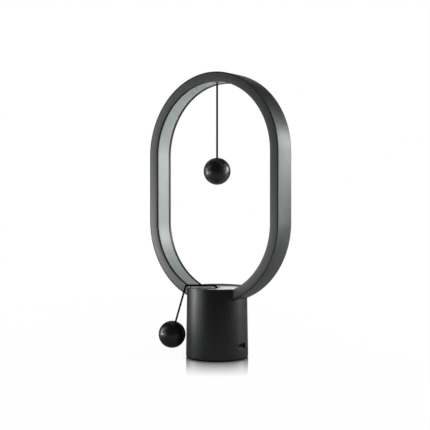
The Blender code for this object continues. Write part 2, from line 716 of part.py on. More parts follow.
def make_ball(prefix, centre, up_axis, looks, cord_parent, ball_parent):
    """Two halves, magnet and knot. up_axis points from the centre to the cord's hole."""
    cap_profile, cup_profile = ball_half_profiles()
    turn = Vector((0, 0, 1)).rotation_difference(up_axis).to_matrix().to_4x4()
    place = Matrix.Translation(centre) @ turn
    magnet_low = -BALL_RADIUS + MAGNET_FLOOR + GAP
    magnet = MAGNET_DIAMETER / 2
    knot_top = knot_top_height()
    knot = KNOT_DIAMETER / 2
    pieces = {
        f"{prefix}_ball_cap": (cap_profile, looks["ball"], BALL_SIDES, ball_parent),
        f"{prefix}_ball_cup": (cup_profile, looks["ball"], BALL_SIDES, ball_parent),
        f"{prefix}_magnet": ([
            (0, magnet_low),
            (magnet - EDGE, magnet_low),
            (magnet, magnet_low + EDGE),
            (magnet, magnet_low + MAGNET_THICKNESS - EDGE),
            (magnet - EDGE, magnet_low + MAGNET_THICKNESS),
            (0, magnet_low + MAGNET_THICKNESS),
        ], looks["magnet"], ROUND_STEPS, ball_parent),
        f"{prefix}_cord_knot": (
            bead_profile(knot, knot_top - KNOT_HEIGHT, knot_top), looks["cord"], SMALL_STEPS,
            cord_parent),
    }
    for name, (profile, look, steps, parent) in pieces.items():
        made = turned(name, profile, look, steps)
        made.data.transform(place)
        hang_on(made, parent)


def knot_top_height():
    """The knot bears on the inside of the cap, round the cord's hole."""
    inner = BALL_RADIUS - BALL_WALL
    return math.sqrt(inner**2 - (KNOT_DIAMETER / 2) ** 2) - GAP


def bead_profile(radius, low, high):
    """A round-sided bead between two heights."""
    middle, half = (low + high) / 2, (high - low) / 2
    angles = np.linspace(-math.pi / 2, math.pi / 2, 7)
    return [(max(radius * math.cos(a), 0), middle + half * math.sin(a)) for a in angles]


def make_upper_pendulum(looks):
    anchor_surface = ARC_TOP_Z + DIFFUSER_OUTER
    bush_low = BEAD_TOP + GAP
    flange_low = anchor_surface + GAP
    flange_top = flange_low + BUSH_FLANGE_THICKNESS
    barrel, flange = BUSH_BARREL_DIAMETER / 2, BUSH_FLANGE_DIAMETER / 2
    turned("ring_cord_bush", [
        (CORD_BORE, bush_low), (barrel, bush_low), (barrel, flange_low), (flange, flange_low),
        (flange, flange_top), (CORD_BORE, flange_top),
    ], looks["bush"], BUSH_STEPS)
    stop_low = flange_top + GAP
    stop = STOP_DIAMETER / 2
    turned("upper_cord_stop", [
        (0, bush_low + GAP), (CORD_RADIUS, bush_low + GAP), (CORD_RADIUS, stop_low),
        (stop - EDGE, stop_low), (stop, stop_low + EDGE),
        (stop, stop_low + STOP_HEIGHT - EDGE), (stop - EDGE, stop_low + STOP_HEIGHT),
        (0, stop_low + STOP_HEIGHT),
    ], looks["cord"], SMALL_STEPS)

    top = pivot("upper_pivot", (0, 0, UPPER_PIVOT_Z))
    bead = turned("upper_cord_bead", bead_profile(
        BEAD_DIAMETER / 2, UPPER_PIVOT_Z - BEAD_DIAMETER / 2, BEAD_TOP), looks["cord"], SMALL_STEPS)
    hang_on(bead, top)
    cord_top = UPPER_PIVOT_Z - BEAD_DIAMETER / 2 - GAP
    cord_end = UPPER_BALL_Z + knot_top_height() + GAP
    cord = tube("upper_cord", smooth_points([(0, 0, cord_top), (0, 0, cord_end)], 15),
                CORD_DIAMETER, looks["cord"])
    hang_on(cord, top)
    spin = pivot("upper_ball_axis", (0, 0, UPPER_BALL_Z), top)
    make_ball("upper", Vector((0, 0, UPPER_BALL_Z)), Vector((0, 0, 1)), looks, top, spin)


def make_lower_ball(looks):
    """The cord comes up through the hole, crosses to the rim and hangs to the ball."""
    outward = Vector((
        math.cos(math.radians(LOWER_SWIVEL_DEGREES)),
        math.sin(math.radians(LOWER_SWIVEL_DEGREES)),
        0,
    ))
    bend = Vector((0, 0, KNEE_HEIGHT))
    knee = outward * KNEE_REACH + bend
    reach = shell_radius(LOWER_BALL_HEIGHT) + BALL_RADIUS + LOWER_BALL_GAP
    ball = outward * reach + Vector((0, 0, LOWER_BALL_HEIGHT))
    hang = (ball - knee).normalized()
    hole_pivot = pivot("hole_pivot", bend)
    stub = tube("lower_cord_stub", [
        (0, 0, PLUNGER_TOP + GAP), (0, 0, (PLUNGER_TOP + KNEE_HEIGHT) / 2),
        (0, 0, KNEE_HEIGHT - STUB_END_GAP)], CORD_DIAMETER, looks["cord"])
    hang_on(stub, hole_pivot)
    run = tube("lower_cord_run", smooth_points(
        [bend + outward * STUB_END_GAP, knee - outward * STUB_END_GAP], 9),
        CORD_DIAMETER, looks["cord"])
    hang_on(run, hole_pivot)
    knee_pivot = pivot("knee_pivot", knee, hole_pivot)
    cord_end = ball - hang * (knot_top_height() + GAP)
    drop = tube("lower_cord_drop", smooth_points([knee + hang * STUB_END_GAP, cord_end], 10),
                CORD_DIAMETER, looks["cord"])
    hang_on(drop, knee_pivot)
    spin = pivot("lower_ball_axis", ball, knee_pivot)
    make_ball("lower", ball, -hang, looks, knee_pivot, spin)


def make_base_shell(looks):
    inner, ledge = SHELL_INNER, SHELL_INNER - LEDGE_WIDTH
    seat = PLATE_BOTTOM - GAP
    ledge_low = seat - LEDGE_THICKNESS
    top = BASE_TOP_DIAMETER / 2
    bottom = SHELL_FOOT_RADIUS
    shell = turned("base_shell", [
        (inner, FOOT_LIFT),
        (bottom - EDGE, FOOT_LIFT),
        (bottom, FOOT_LIFT + EDGE),
        (top, BASE_HEIGHT - EDGE),
        (top - EDGE, BASE_HEIGHT),
        (RIM_INNER, BASE_HEIGHT),
        (RIM_INNER, seat),
        (ledge, seat),
        (ledge, ledge_low),
        (inner, ledge_low - (inner - ledge)),
    ], looks["base"], SHELL_STEPS)

    for k, degrees in enumerate(POST_ANGLES, 1):
        centre = spot_on_circle(POST_REACH, degrees)
        join_rod(shell, f"post_{k}_boss", POST_DIAMETER / 2, BALLAST_BOTTOM, POST_TOP, centre)
    for label, side in (("front", -1), ("rear", 1)):
        reach = sorted((side * RIB_INNER_REACH, side * (inner + GAP)))
        join_box(shell, f"{label}_rib", (-RIB_LENGTH / 2, reach[0], RIB_BOTTOM),
                 (RIB_LENGTH / 2, reach[1], SADDLE_BOTTOM - GAP))
    for k, degrees in enumerate(POST_ANGLES, 1):
        drill(shell, f"post_{k}", SCREW_BORE, BALLAST_BOTTOM - CUT_OVERRUN,
              COVER_SCREW_SEAT + COVER_SCREW_LENGTH + GAP, spot_on_circle(POST_REACH, degrees))
    for label, side in (("front", -1), ("rear", 1)):
        drill(shell, f"rib_{label}", SCREW_BORE,
              SADDLE_BOTTOM + SADDLE_EAR_THICKNESS - SADDLE_SCREW_LENGTH - GAP,
              SADDLE_BOTTOM + CUT_OVERRUN, (0, side * SADDLE_SCREW_REACH))

    ring_cut = extruded_shape(circle_points(RING_RADIUS + GAP, (0, ARC_LOW_Z), 2 * ARC_STEPS),
                              "Y", -RING_HALF_DEPTH - GAP, RING_HALF_DEPTH + GAP)
    boolean(shell, finish_mesh("base_shell_ring_cut", ring_cut, None, False))
    pocket = extruded_shape(
        rounded_outline(POCKET_WIDTH, POCKET_HEIGHT, POCKET_CORNER, (0, SOCKET_HEIGHT)),
        "X", pocket_floor_x(), bottom + CUT_OVERRUN)
    boolean(shell, finish_mesh("base_shell_pocket_cut", pocket, None, False))
    cut_box(shell, "socket",
            (inner - CUT_OVERRUN, -SOCKET_OUTER_WIDTH / 2 - GAP,
             SOCKET_HEIGHT - SOCKET_OUTER_HEIGHT / 2 - GAP),
            (bottom + CUT_OVERRUN, SOCKET_OUTER_WIDTH / 2 + GAP,
             SOCKET_HEIGHT + SOCKET_OUTER_HEIGHT / 2 + GAP))


def circle_points(radius, centre, count):
    return [
        (centre[0] + radius * math.cos(a), centre[1] + radius * math.sin(a))
        for a in np.linspace(0, math.tau, count, endpoint=False)
    ]


def spot_on_circle(reach, degrees):
    angle = math.radians(degrees)
    return reach * math.cos(angle), reach * math.sin(angle)


def make_top_plate(looks):
    """The plate is cut away where the ring's band passes through its level."""
    plate = turned("top_plate", [
        (0, PLATE_BOTTOM), (RIM_INNER - GAP, PLATE_BOTTOM), (RIM_INNER - GAP, PLATE_TOP - EDGE),
        (RIM_INNER - GAP - EDGE, PLATE_TOP), (0, PLATE_TOP),
    ], looks["plate"], SHELL_STEPS)
    band = ring_shape([
        (RING_INNER - GAP, -RING_HALF_DEPTH - GAP), (RING_RADIUS + GAP, -RING_HALF_DEPTH - GAP),
        (RING_RADIUS + GAP, RING_HALF_DEPTH + GAP), (RING_INNER - GAP, RING_HALF_DEPTH + GAP),
    ])
    boolean(plate, finish_mesh("top_plate_ring_cut", band, None, False))
    drill(plate, "eyelet", GUIDE_SPIGOT_DIAMETER / 2 + GAP, PLATE_BOTTOM - CUT_OVERRUN,
          PLATE_TOP + CUT_OVERRUN, steps=ROUND_STEPS)


def make_pull_switch(looks):
    spigot, flange = GUIDE_SPIGOT_DIAMETER / 2, GUIDE_FLANGE_DIAMETER / 2
    barrel = GUIDE_BARREL_DIAMETER / 2
    stem_bore, piston_bore = GUIDE_STEM_BORE / 2, GUIDE_PISTON_BORE / 2
    flange_top = PLATE_BOTTOM - GAP
    flange_low = flange_top - GUIDE_FLANGE_THICKNESS
    turned("cord_guide", [
        (stem_bore + EDGE, PLATE_TOP), (spigot, PLATE_TOP), (spigot, flange_top),
        (flange, flange_top), (flange, flange_low), (barrel, flange_low),
        (barrel, GUIDE_BARREL_BOTTOM), (piston_bore, GUIDE_BARREL_BOTTOM),
        (piston_bore, GUIDE_SHOULDER), (stem_bore, GUIDE_SHOULDER), (stem_bore, PLATE_TOP - EDGE),
    ], looks["bush"], BUSH_STEPS)

    slider = pivot("pull_axis", (0, 0, PLUNGER_BOTTOM))
    stem, piston = PLUNGER_STEM_DIAMETER / 2, PLUNGER_PISTON_DIAMETER / 2
    plunger = turned("pull_plunger", [
        (0, PLUNGER_BOTTOM), (piston - EDGE, PLUNGER_BOTTOM), (piston, PLUNGER_BOTTOM + EDGE),
        (piston, PLUNGER_PISTON_TOP), (stem, PLUNGER_PISTON_TOP), (stem, PLUNGER_TOP),
        (0, PLUNGER_TOP),
    ], looks["white_plastic"], SMALL_STEPS)
    hang_on(plunger, slider)

    low = PLUNGER_PISTON_TOP + GAP + SPRING_WIRE_DIAMETER / 2
    high = GUIDE_SHOULDER - GAP - SPRING_WIRE_DIAMETER / 2
    turns = np.linspace(0, 1, SPRING_TURNS * SPRING_POINTS_PER_TURN + 1)
    angle = math.tau * SPRING_TURNS * turns
    coil = np.stack([
        SPRING_MEAN_DIAMETER / 2 * np.cos(angle),
        SPRING_MEAN_DIAMETER / 2 * np.sin(angle),
        low + (high - low) * turns,
    ], axis=1)
    pitch = (high - low) / SPRING_TURNS
    print("least gap between spring turns, mm:", round((pitch - SPRING_WIRE_DIAMETER) / MILLIMETRE, 2))
    tube("return_spring", coil, SPRING_WIRE_DIAMETER, looks["steel"], 1)

    make_micro_switch(looks)


def make_micro_switch(looks):
    """The switch lies under the plunger, on a folded bracket that stands on the ballast."""
    half = SWITCH_WIDTH / 2
    ear_top = LEVER_Z + LEVER_PIN_BORE + EDGE
    body = box("switch_body", (SWITCH_LEFT, -half, SWITCH_BOTTOM),
               (SWITCH_RIGHT, half, SWITCH_TOP), looks["black_plastic"])
    for label, side in (("front", -1), ("rear", 1)):
        sides = sorted((side * half, side * (half - SWITCH_EAR_THICKNESS)))
        join_box(body, f"{label}_ear",
                 (LEVER_PIVOT_X - SWITCH_EAR_LENGTH / 2, sides[0], SWITCH_TOP - EDGE),
                 (LEVER_PIVOT_X + SWITCH_EAR_LENGTH / 2, sides[1], ear_top))
    pin_hole = extruded_shape(circle_points(LEVER_PIN_BORE, (LEVER_PIVOT_X, LEVER_Z), SMALL_STEPS),
                              "Y", -half - CUT_OVERRUN, half + CUT_OVERRUN)
    boolean(body, finish_mesh("switch_body_pin_cut", pin_hole, None, False))
    cut_box(body, "button",
            (BUTTON_X - BUTTON_LENGTH / 2 - GAP, -BUTTON_WIDTH / 2 - GAP,
             BUTTON_TOP - BUTTON_DEPTH - 2 * GAP),
            (BUTTON_X + BUTTON_LENGTH / 2 + GAP, BUTTON_WIDTH / 2 + GAP,
             SWITCH_TOP + CUT_OVERRUN))

    button_pivot = pivot("button_axis", (BUTTON_X, 0, BUTTON_TOP))
    button = box("switch_button",
                 (BUTTON_X - BUTTON_LENGTH / 2, -BUTTON_WIDTH / 2, BUTTON_TOP - BUTTON_DEPTH),
                 (BUTTON_X + BUTTON_LENGTH / 2, BUTTON_WIDTH / 2, BUTTON_TOP),
                 looks["white_plastic"], EDGE / 2)
    hang_on(button, button_pivot)
    lever_pivot = pivot("lever_axis", (LEVER_PIVOT_X, 0, LEVER_Z))
    lever = box("switch_lever",
                (LEVER_PIVOT_X - LEVER_THICKNESS, -LEVER_WIDTH / 2, LEVER_Z - LEVER_THICKNESS / 2),
                (LEVER_TIP_X, LEVER_WIDTH / 2, LEVER_Z + LEVER_THICKNESS / 2), looks["steel"])
    pin = extruded_shape(
        circle_points(LEVER_PIN_DIAMETER / 2, (LEVER_PIVOT_X, LEVER_Z), SMALL_STEPS),
        "Y", -half + EDGE / 2, half - EDGE / 2)
    boolean(lever, finish_mesh("switch_lever_pin", pin, None, False), "UNION")
    hang_on(lever, lever_pivot)

    riser = SWITCH_LEFT - GAP
    outline = [
        (BRACKET_FOOT_LEFT, BRACKET_FOOT_BOTTOM), (riser, BRACKET_FOOT_BOTTOM),
        (riser, SHELF_TOP - BRACKET_SHEET), (SWITCH_RIGHT, SHELF_TOP - BRACKET_SHEET),
        (SWITCH_RIGHT, SHELF_TOP), (BRACKET_FOOT_RIGHT, SHELF_TOP),
        (BRACKET_FOOT_RIGHT, BRACKET_FOOT_BOTTOM + BRACKET_SHEET),
        (BRACKET_FOOT_LEFT, BRACKET_FOOT_BOTTOM + BRACKET_SHEET),
    ]
    bracket = finish_mesh("switch_bracket", extruded_shape(
        outline, "Y", -BRACKET_WIDTH / 2, BRACKET_WIDTH / 2), looks["steel"])
    drill(bracket, "screw", SCREW_BORE, BALLAST_TOP, BRACKET_FOOT_BOTTOM + CUT_OVERRUN,
          (BRACKET_SCREW_X, 0))
    screw("bracket_screw", BRACKET_FOOT_BOTTOM + BRACKET_SHEET + GAP, BRACKET_SCREW_LENGTH,
          looks["steel"], (BRACKET_SCREW_X, 0))


def make_saddle(looks):
    """A cradle under the ring's lower arc, with a cheek on each side and two ears."""
    saddle = box("ring_saddle", (-SADDLE_HALF_LENGTH, -SADDLE_SIDE, SADDLE_BOTTOM),
                 (SADDLE_HALF_LENGTH, SADDLE_SIDE, SADDLE_CHEEK_TOP), looks["black_plastic"])
    join_box(saddle, "ears", (-SADDLE_EAR_LENGTH / 2, -SADDLE_EAR_REACH, SADDLE_BOTTOM),
             (SADDLE_EAR_LENGTH / 2, SADDLE_EAR_REACH, SADDLE_BOTTOM + SADDLE_EAR_THICKNESS))
    seat = extruded_shape(circle_points(RING_RADIUS + GAP, (0, ARC_LOW_Z), 2 * ARC_STEPS),
                          "Y", -RING_HALF_DEPTH - GAP, RING_HALF_DEPTH + GAP)
    boolean(saddle, finish_mesh("saddle_seat_cut", seat, None, False))
    drill(saddle, "guide", GUIDE_BARREL_DIAMETER / 2 + GAP, SADDLE_BOTTOM - CUT_OVERRUN,
          SADDLE_CHEEK_TOP, steps=ROUND_STEPS)
    cut_box(saddle, "wire",
            (WIRE_HOLE_X - WIRE_HOLE_LENGTH / 2, -WIRE_HOLE_WIDTH / 2, SADDLE_BOTTOM - CUT_OVERRUN),
            (WIRE_HOLE_X + WIRE_HOLE_LENGTH / 2, WIRE_HOLE_WIDTH / 2, SADDLE_CHEEK_TOP))
    for label, sign in (("left", -1), ("right", 1)):
        centre = (sign * RING_SCREW_X, 0)
        drill_for_head_below(saddle, f"{label}_screw", SADDLE_BOTTOM - CUT_OVERRUN,
                             RING_SCREW_SEAT, SADDLE_CHEEK_TOP, centre)
        screw(f"ring_screw_{label}", RING_SCREW_SEAT - GAP, RING_SCREW_LENGTH, looks["steel"],
              centre, up=-1)
    for label, sign in (("front", -1), ("rear", 1)):
        centre = (0, sign * SADDLE_SCREW_REACH)
        drill(saddle, f"{label}_ear", SCREW_BORE, SADDLE_BOTTOM - CUT_OVERRUN,
              SADDLE_CHEEK_TOP, centre)
        screw(f"saddle_screw_{label}", SADDLE_BOTTOM + SADDLE_EAR_THICKNESS + GAP,
              SADDLE_SCREW_LENGTH, looks["steel"], centre)


def make_bottom(looks):
    """Foot pad, bottom cover with its standoffs and screws, and the stepped ballast."""
    pad = SHELL_INNER - PAD_INSET
    turned("foot_pad", [
        (0, 0), (pad - EDGE, 0), (pad, EDGE), (pad, PAD_THICKNESS), (0, PAD_THICKNESS),
    ], looks["foot"], SHELL_STEPS)
    cover_radius = SHELL_INNER - GAP
    cover = turned("bottom_cover", rod_profile(cover_radius, COVER_PLATE_BOTTOM, COVER_PLATE_TOP),
                   looks["black_plastic"], HIDDEN_STEPS)
    ballast = turned("ballast_weight", rod_profile(
        BALLAST_RADIUS, BALLAST_BOTTOM, BALLAST_TOP), looks["iron"], HIDDEN_STEPS)
    past = BALLAST_RADIUS + CUT_OVERRUN
    cut_box(ballast, "step",
            (BALLAST_STEP_X, -past, BALLAST_BOTTOM + BALLAST_PLATE_THICKNESS),
            (past, past, BALLAST_TOP + CUT_OVERRUN))

    for label, side in (("front", -1), ("rear", 1)):
        centre = (STANDOFF_X, side * STANDOFF_Y)
        join_rod(cover, f"{label}_standoff", STANDOFF_DIAMETER / 2, COVER_PLATE_TOP - EDGE,
                 BOARD_BOTTOM - GAP, centre)
        drill(cover, f"standoff_{label}", SCREW_BORE, BOARD_TOP - BOARD_SCREW_LENGTH - GAP,
              BOARD_BOTTOM + CUT_OVERRUN, centre)
        drill(ballast, f"standoff_{label}", STANDOFF_DIAMETER / 2 + GAP,
              BALLAST_BOTTOM - CUT_OVERRUN, BOARD_BOTTOM + CUT_OVERRUN, centre)
    for k, degrees in enumerate(POST_ANGLES, 1):
        centre = spot_on_circle(POST_REACH, degrees)
        drill_for_head_below(cover, f"screw_{k}", COVER_PLATE_BOTTOM - CUT_OVERRUN,
                             COVER_SCREW_SEAT + GAP, COVER_PLATE_TOP + CUT_OVERRUN, centre)
        drill(ballast, f"post_{k}", POST_DIAMETER / 2 + GAP, BALLAST_BOTTOM - CUT_OVERRUN,
              BALLAST_TOP + CUT_OVERRUN, centre, steps=ROUND_STEPS)
        screw(f"cover_screw_{k}", COVER_SCREW_SEAT, COVER_SCREW_LENGTH, looks["steel"],
              centre, up=-1)
    drill(ballast, "bracket", SCREW_BORE,
          BRACKET_FOOT_BOTTOM + BRACKET_SHEET - BRACKET_SCREW_LENGTH - GAP,
          BALLAST_TOP + CUT_OVERRUN, (BRACKET_SCREW_X, 0))


def make_board(looks):
    """Control board on the standoffs, with its power socket in the shell's pocket."""
    half = BOARD_WIDTH / 2
    board = box("control_board", (BOARD_INNER_X, -half, BOARD_BOTTOM),
                (BOARD_OUTER_X, half, BOARD_TOP), looks["board"])
    for label, y in (("driver", -STANDOFF_Y), ("coil", STANDOFF_Y)):
        join_box(board, label, (CHIP_X, y - CHIP_WIDTH / 2, BOARD_TOP - EDGE),
                 (CHIP_X + CHIP_LENGTH, y + CHIP_WIDTH / 2, BOARD_TOP + CHIP_HEIGHT))
    for label, side in (("front", -1), ("rear", 1)):
        centre = (STANDOFF_X, side * STANDOFF_Y)
        drill(board, f"{label}_screw", SCREW_BORE, BOARD_BOTTOM - CUT_OVERRUN,
              BOARD_TOP + CUT_OVERRUN, centre)
        screw(f"board_screw_{label}", BOARD_TOP + GAP, BOARD_SCREW_LENGTH, looks["steel"], centre)

    mouth_x = pocket_floor_x() - GAP
    inner_x = mouth_x - SOCKET_LENGTH
    outer = socket_outline(SOCKET_OUTER_WIDTH, SOCKET_OUTER_HEIGHT, SOCKET_CHAMFER)
    inner = socket_outline(SOCKET_OUTER_WIDTH - 2 * SOCKET_SHEET,
                           SOCKET_OUTER_HEIGHT - 2 * SOCKET_SHEET, SOCKET_CHAMFER)
    socket = finish_mesh("usb_socket", extruded_shape(outer, "X", inner_x, mouth_x),
                         looks["socket"])
    hollow = extruded_shape(inner, "X", inner_x - CUT_OVERRUN, mouth_x + CUT_OVERRUN)
    boolean(socket, finish_mesh("usb_socket_hollow_cut", hollow, None, False))
    block_outline = socket_outline(SOCKET_OUTER_WIDTH - 2 * SOCKET_SHEET - 2 * FIT,
                                   SOCKET_OUTER_HEIGHT - 2 * SOCKET_SHEET - 2 * FIT,
                                   SOCKET_CHAMFER)
    block_end = inner_x + SOCKET_BLOCK_LENGTH
    block = finish_mesh("usb_insulator", extruded_shape(block_outline, "X", inner_x, block_end),
                        looks["black_plastic"])
    join_box(block, "tongue",
             (block_end - EDGE, -TONGUE_WIDTH / 2, SOCKET_HEIGHT - TONGUE_THICKNESS / 2),
             (block_end + TONGUE_LENGTH, TONGUE_WIDTH / 2, SOCKET_HEIGHT + TONGUE_THICKNESS / 2))


def socket_outline(width, height, chamfer):
    """A socket mouth with its two lower corners cut off, round the socket's height."""
    x, low, high = width / 2, SOCKET_HEIGHT - height / 2, SOCKET_HEIGHT + height / 2
    return [(-x + chamfer, low), (x - chamfer, low), (x, low + chamfer), (x, high), (-x, high),
            (-x, low + chamfer)]


def make_leads(looks):
    """Two wires from the lamp strip and two from the switch, down to the board."""
    end_angle = math.radians(STRIP_END_ANGLE)
    strip_middle = (STRIP_OUTER + STRIP_INNER) / 2
    end_x = strip_middle * math.sin(end_angle) - GAP - LEAD_DIAMETER
    end_z = ARC_LOW_Z - strip_middle * math.cos(end_angle)
    land_z = BOARD_TOP + GAP
    strip_land = CHIP_X + CHIP_LENGTH + LEAD_DIAMETER
    for name, side, look in (("positive", 1, "red_wire"), ("negative", -1, "black_wire")):
        y = side * LEAD_SPACING / 2
        route = [
            (end_x, y, end_z + LEAD_DIAMETER),
            (WIRE_HOLE_X, y, end_z - LEAD_DIAMETER),
            (WIRE_HOLE_X, y, SADDLE_BOTTOM),
            (WIRE_HOLE_X, 2 * y, (SADDLE_BOTTOM + land_z) / 2),
            (strip_land, 2 * y, land_z + 2 * LEAD_DIAMETER),
            (strip_land, 2 * y, land_z),
        ]
        tube(f"led_lead_{name}", smooth_points(route, 16), LEAD_DIAMETER, looks[look], 1)
    middle_z = (SWITCH_BOTTOM + SWITCH_TOP) / 2
    for name, side, look in (("common", 1, "red_wire"), ("return", -1, "black_wire")):
        y = side * LEAD_SPACING / 2
        bow = SWITCH_RIGHT + 3 * LEAD_DIAMETER
        route = [
            (SWITCH_RIGHT + GAP, y, middle_z),
            (bow, y, middle_z - LEAD_DIAMETER),
            (bow + LEAD_DIAMETER, y, (middle_z + land_z) / 2),
            (bow, y, land_z + 2 * LEAD_DIAMETER),
            (bow, y, land_z),
        ]
        tube(f"switch_lead_{name}", smooth_points(route, 10), LEAD_DIAMETER, looks[look], 1)


def make_looks():
    return {
        "ring": material("ring_charcoal", (0.045, 0.045, 0.048), 0.42),
        "base": material("base_charcoal", (0.022, 0.023, 0.024), 0.45),
        "plate": material("plate_gloss", (0.012, 0.013, 0.014), 0.08),
        "diffuser": material("frosted_diffuser", (0.62, 0.67, 0.70), 0.55),
        "strip": material("lamp_strip", (0.80, 0.80, 0.76), 0.50),
        "ball": material("ball_black", (0.010, 0.010, 0.011), 0.28),
        "cord": material("cord_black", (0.008, 0.008, 0.008), 0.85),
        "bush": material("bush_black", (0.015, 0.015, 0.016), 0.40),
        "black_plastic": material("black_plastic", (0.020, 0.020, 0.022), 0.50),
        "white_plastic": material("white_plastic", (0.72, 0.72, 0.70), 0.40),
        "magnet": material("magnet_nickel", (0.60, 0.58, 0.55), 0.25, 1.0),
        "steel": material("zinc_steel", (0.55, 0.56, 0.58), 0.35, 1.0),
        "iron": material("cast_iron", (0.10, 0.10, 0.10), 0.65, 1.0),
        "board": material("board_green", (0.02, 0.13, 0.05), 0.45),
        "socket": material("socket_tin", (0.66, 0.67, 0.68), 0.30, 1.0),
        "foot": material("foot_rubber", (0.012, 0.012, 0.012), 0.80),
        "red_wire": material("wire_red", (0.45, 0.02, 0.02), 0.50),
        "black_wire": material("wire_black", (0.015, 0.015, 0.015), 0.50),
    }


def build():
    clear_scene()
    looks = make_looks()
    make_ring(looks)
    make_upper_pendulum(looks)
    make_base_shell(looks)
    make_top_plate(looks)
    make_pull_switch(looks)
    make_saddle(looks)
    make_bottom(looks)
    make_board(looks)
    make_leads(looks)
    make_lower_ball(looks)


build()
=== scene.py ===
"""Looks of the magnetic balance lamp: finishes, smooth mouldings, cords, light and camera.

Metres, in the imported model's own frame: +Z up, the ring in the XZ plane with its front
towards -Y, the power socket towards +X.
"""
import json
import math

import bmesh
import bpy
import numpy as np
from mathutils import Matrix, Vector


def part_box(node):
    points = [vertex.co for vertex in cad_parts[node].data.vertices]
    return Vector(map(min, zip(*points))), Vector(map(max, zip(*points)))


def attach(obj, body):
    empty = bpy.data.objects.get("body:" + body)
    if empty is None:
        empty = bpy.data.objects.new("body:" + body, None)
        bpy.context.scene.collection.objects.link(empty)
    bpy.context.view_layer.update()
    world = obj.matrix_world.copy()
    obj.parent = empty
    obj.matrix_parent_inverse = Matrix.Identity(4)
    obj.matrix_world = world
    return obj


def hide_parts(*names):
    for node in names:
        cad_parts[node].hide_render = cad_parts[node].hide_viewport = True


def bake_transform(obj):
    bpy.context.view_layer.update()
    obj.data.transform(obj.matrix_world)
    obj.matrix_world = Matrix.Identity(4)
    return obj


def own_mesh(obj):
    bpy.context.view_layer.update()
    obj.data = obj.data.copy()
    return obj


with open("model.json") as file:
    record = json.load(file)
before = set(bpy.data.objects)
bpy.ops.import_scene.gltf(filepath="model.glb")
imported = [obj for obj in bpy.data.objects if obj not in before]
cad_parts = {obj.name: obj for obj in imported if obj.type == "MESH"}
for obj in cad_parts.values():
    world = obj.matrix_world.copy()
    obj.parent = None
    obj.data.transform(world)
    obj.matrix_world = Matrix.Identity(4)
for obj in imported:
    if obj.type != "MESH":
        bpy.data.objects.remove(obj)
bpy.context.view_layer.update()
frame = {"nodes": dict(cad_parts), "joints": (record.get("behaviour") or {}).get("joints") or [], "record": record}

# Camera, solved from the photograph, with angles in degrees
CAMERA_AZIMUTH = 38.212
HEADING = CAMERA_AZIMUTH + 90
CAMERA_DISTANCE = 0.698154
CAMERA_HEIGHT = 0.132109
CAMERA_PITCH = -0.793
CAMERA_SIDESTEP = -0.001811
LENS_MM = 67.48
SENSOR_MM = 36

# Studio: each soft box as azimuth in degrees, height, width, tallness and strength
STUDIO_MIDDLE = 0.14
STUDIO_RADIUS = 0.68
SOFT_BOXES = {
    "back right tall box": (55.0, 0.30, 0.17, 0.24, 9.9),
    "back right wide box": (37.5, 0.28, 0.35, 0.24, 2.4),
    "back right low box": (37.5, 0.10, 0.35, 0.12, 3.1),
    "front left low box": (215.0, 0.05, 0.17, 0.09, 13.0),
    "left low wing": (200.0, 0.06, 0.17, 0.12, 2.2),
    "front low wing": (237.5, 0.06, 0.35, 0.12, 2.2),
    "left high box": (207.5, 0.25, 0.35, 0.26, 2.2),
    "top right box": (50.0, 0.60, 0.25, 0.25, 1.4),
    "top left box": (225.0, 0.60, 0.25, 0.25, 0.9),
}
LAMP_TINT = (0.965, 1.0, 0.975)
AMBIENT = 0.045

# White wall behind the lamp that only mirror rays see, in degrees: half its width, the fade
# at its sides, the rise where it starts to dim and where it has dimmed to WALL_DIMMED, and
# the edge on whose left it starts only at LOW_EDGE_RISE
WALL_HALF_WIDTH = 14
WALL_SIDE_FADE = 5
WALL_DIM_START = 13
WALL_DIM_END = 27
WALL_DIMMED = 0.20
LOW_EDGE_AZIMUTH = 128.0
LOW_EDGE_FADE = 0.5
LOW_EDGE_RISE = 9.0
LOW_EDGE_RISE_FADE = 1.0

# Floor: its rings, its paint, how white it glows, and the mirror round the base
FLOOR_RADIUS = 1.2
FLOOR_RINGS = (0.0001, 0.05, 0.1, 0.2, 0.4, 0.8, FLOOR_RADIUS)
FLOOR_SPOKES = 96
FLOOR_Z = -0.0001
FLOOR_PAINT = (0.80, 0.80, 0.80, 1)
FLOOR_BOUNCE = 0.30
FLOOR_GLOW = 0.92
FAR_FLOOR = (0.50, 0.80)
GLOW_START = 0.15
GLOW_NEAR = 1.06
GLOW_FAR = 1.10
CONTACT_REACH = 0.006
CONTACT_SAMPLES = 8
MIRROR = 0.90
MIRROR_REACH = 0.086
MIRROR_FADE = 1.2
MIRROR_ROUGHNESS = 0.06

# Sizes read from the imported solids
channel_low, channel_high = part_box("ring_channel")
cover_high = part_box("ring_front_cover")[1]
diffuser_low, diffuser_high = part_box("ring_diffuser")
bush_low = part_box("ring_cord_bush")[0]
shell_low, shell_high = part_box("base_shell")
plate_low, plate_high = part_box("top_plate")
guide_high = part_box("cord_guide")[1]
pad_low, pad_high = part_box("foot_pad")
socket_low, socket_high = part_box("usb_socket")
spring_low, spring_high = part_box("return_spring")
knot_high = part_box("upper_cord_knot")[1]
bead_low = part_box("upper_cord_bead")[0]
stub_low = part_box("lower_cord_stub")[0]
joints = {joint["name"]: joint for joint in frame["joints"]}

RING_RADIUS = channel_high.x
RING_HALF_DEPTH = channel_high.y
ARC_TOP_Z = channel_high.z - RING_RADIUS
ARC_LOW_Z = channel_low.z + RING_RADIUS
HOLE_PIVOT = Vector(joints["lower_cord_swivel"]["pos_m"])
KNEE = Vector(joints["lower_cord_straighten"]["pos_m"])
UPPER_BALL = Vector(joints["upper_ball_twist"]["pos_m"])
LOWER_BALL = Vector(joints["lower_ball_twist"]["pos_m"])

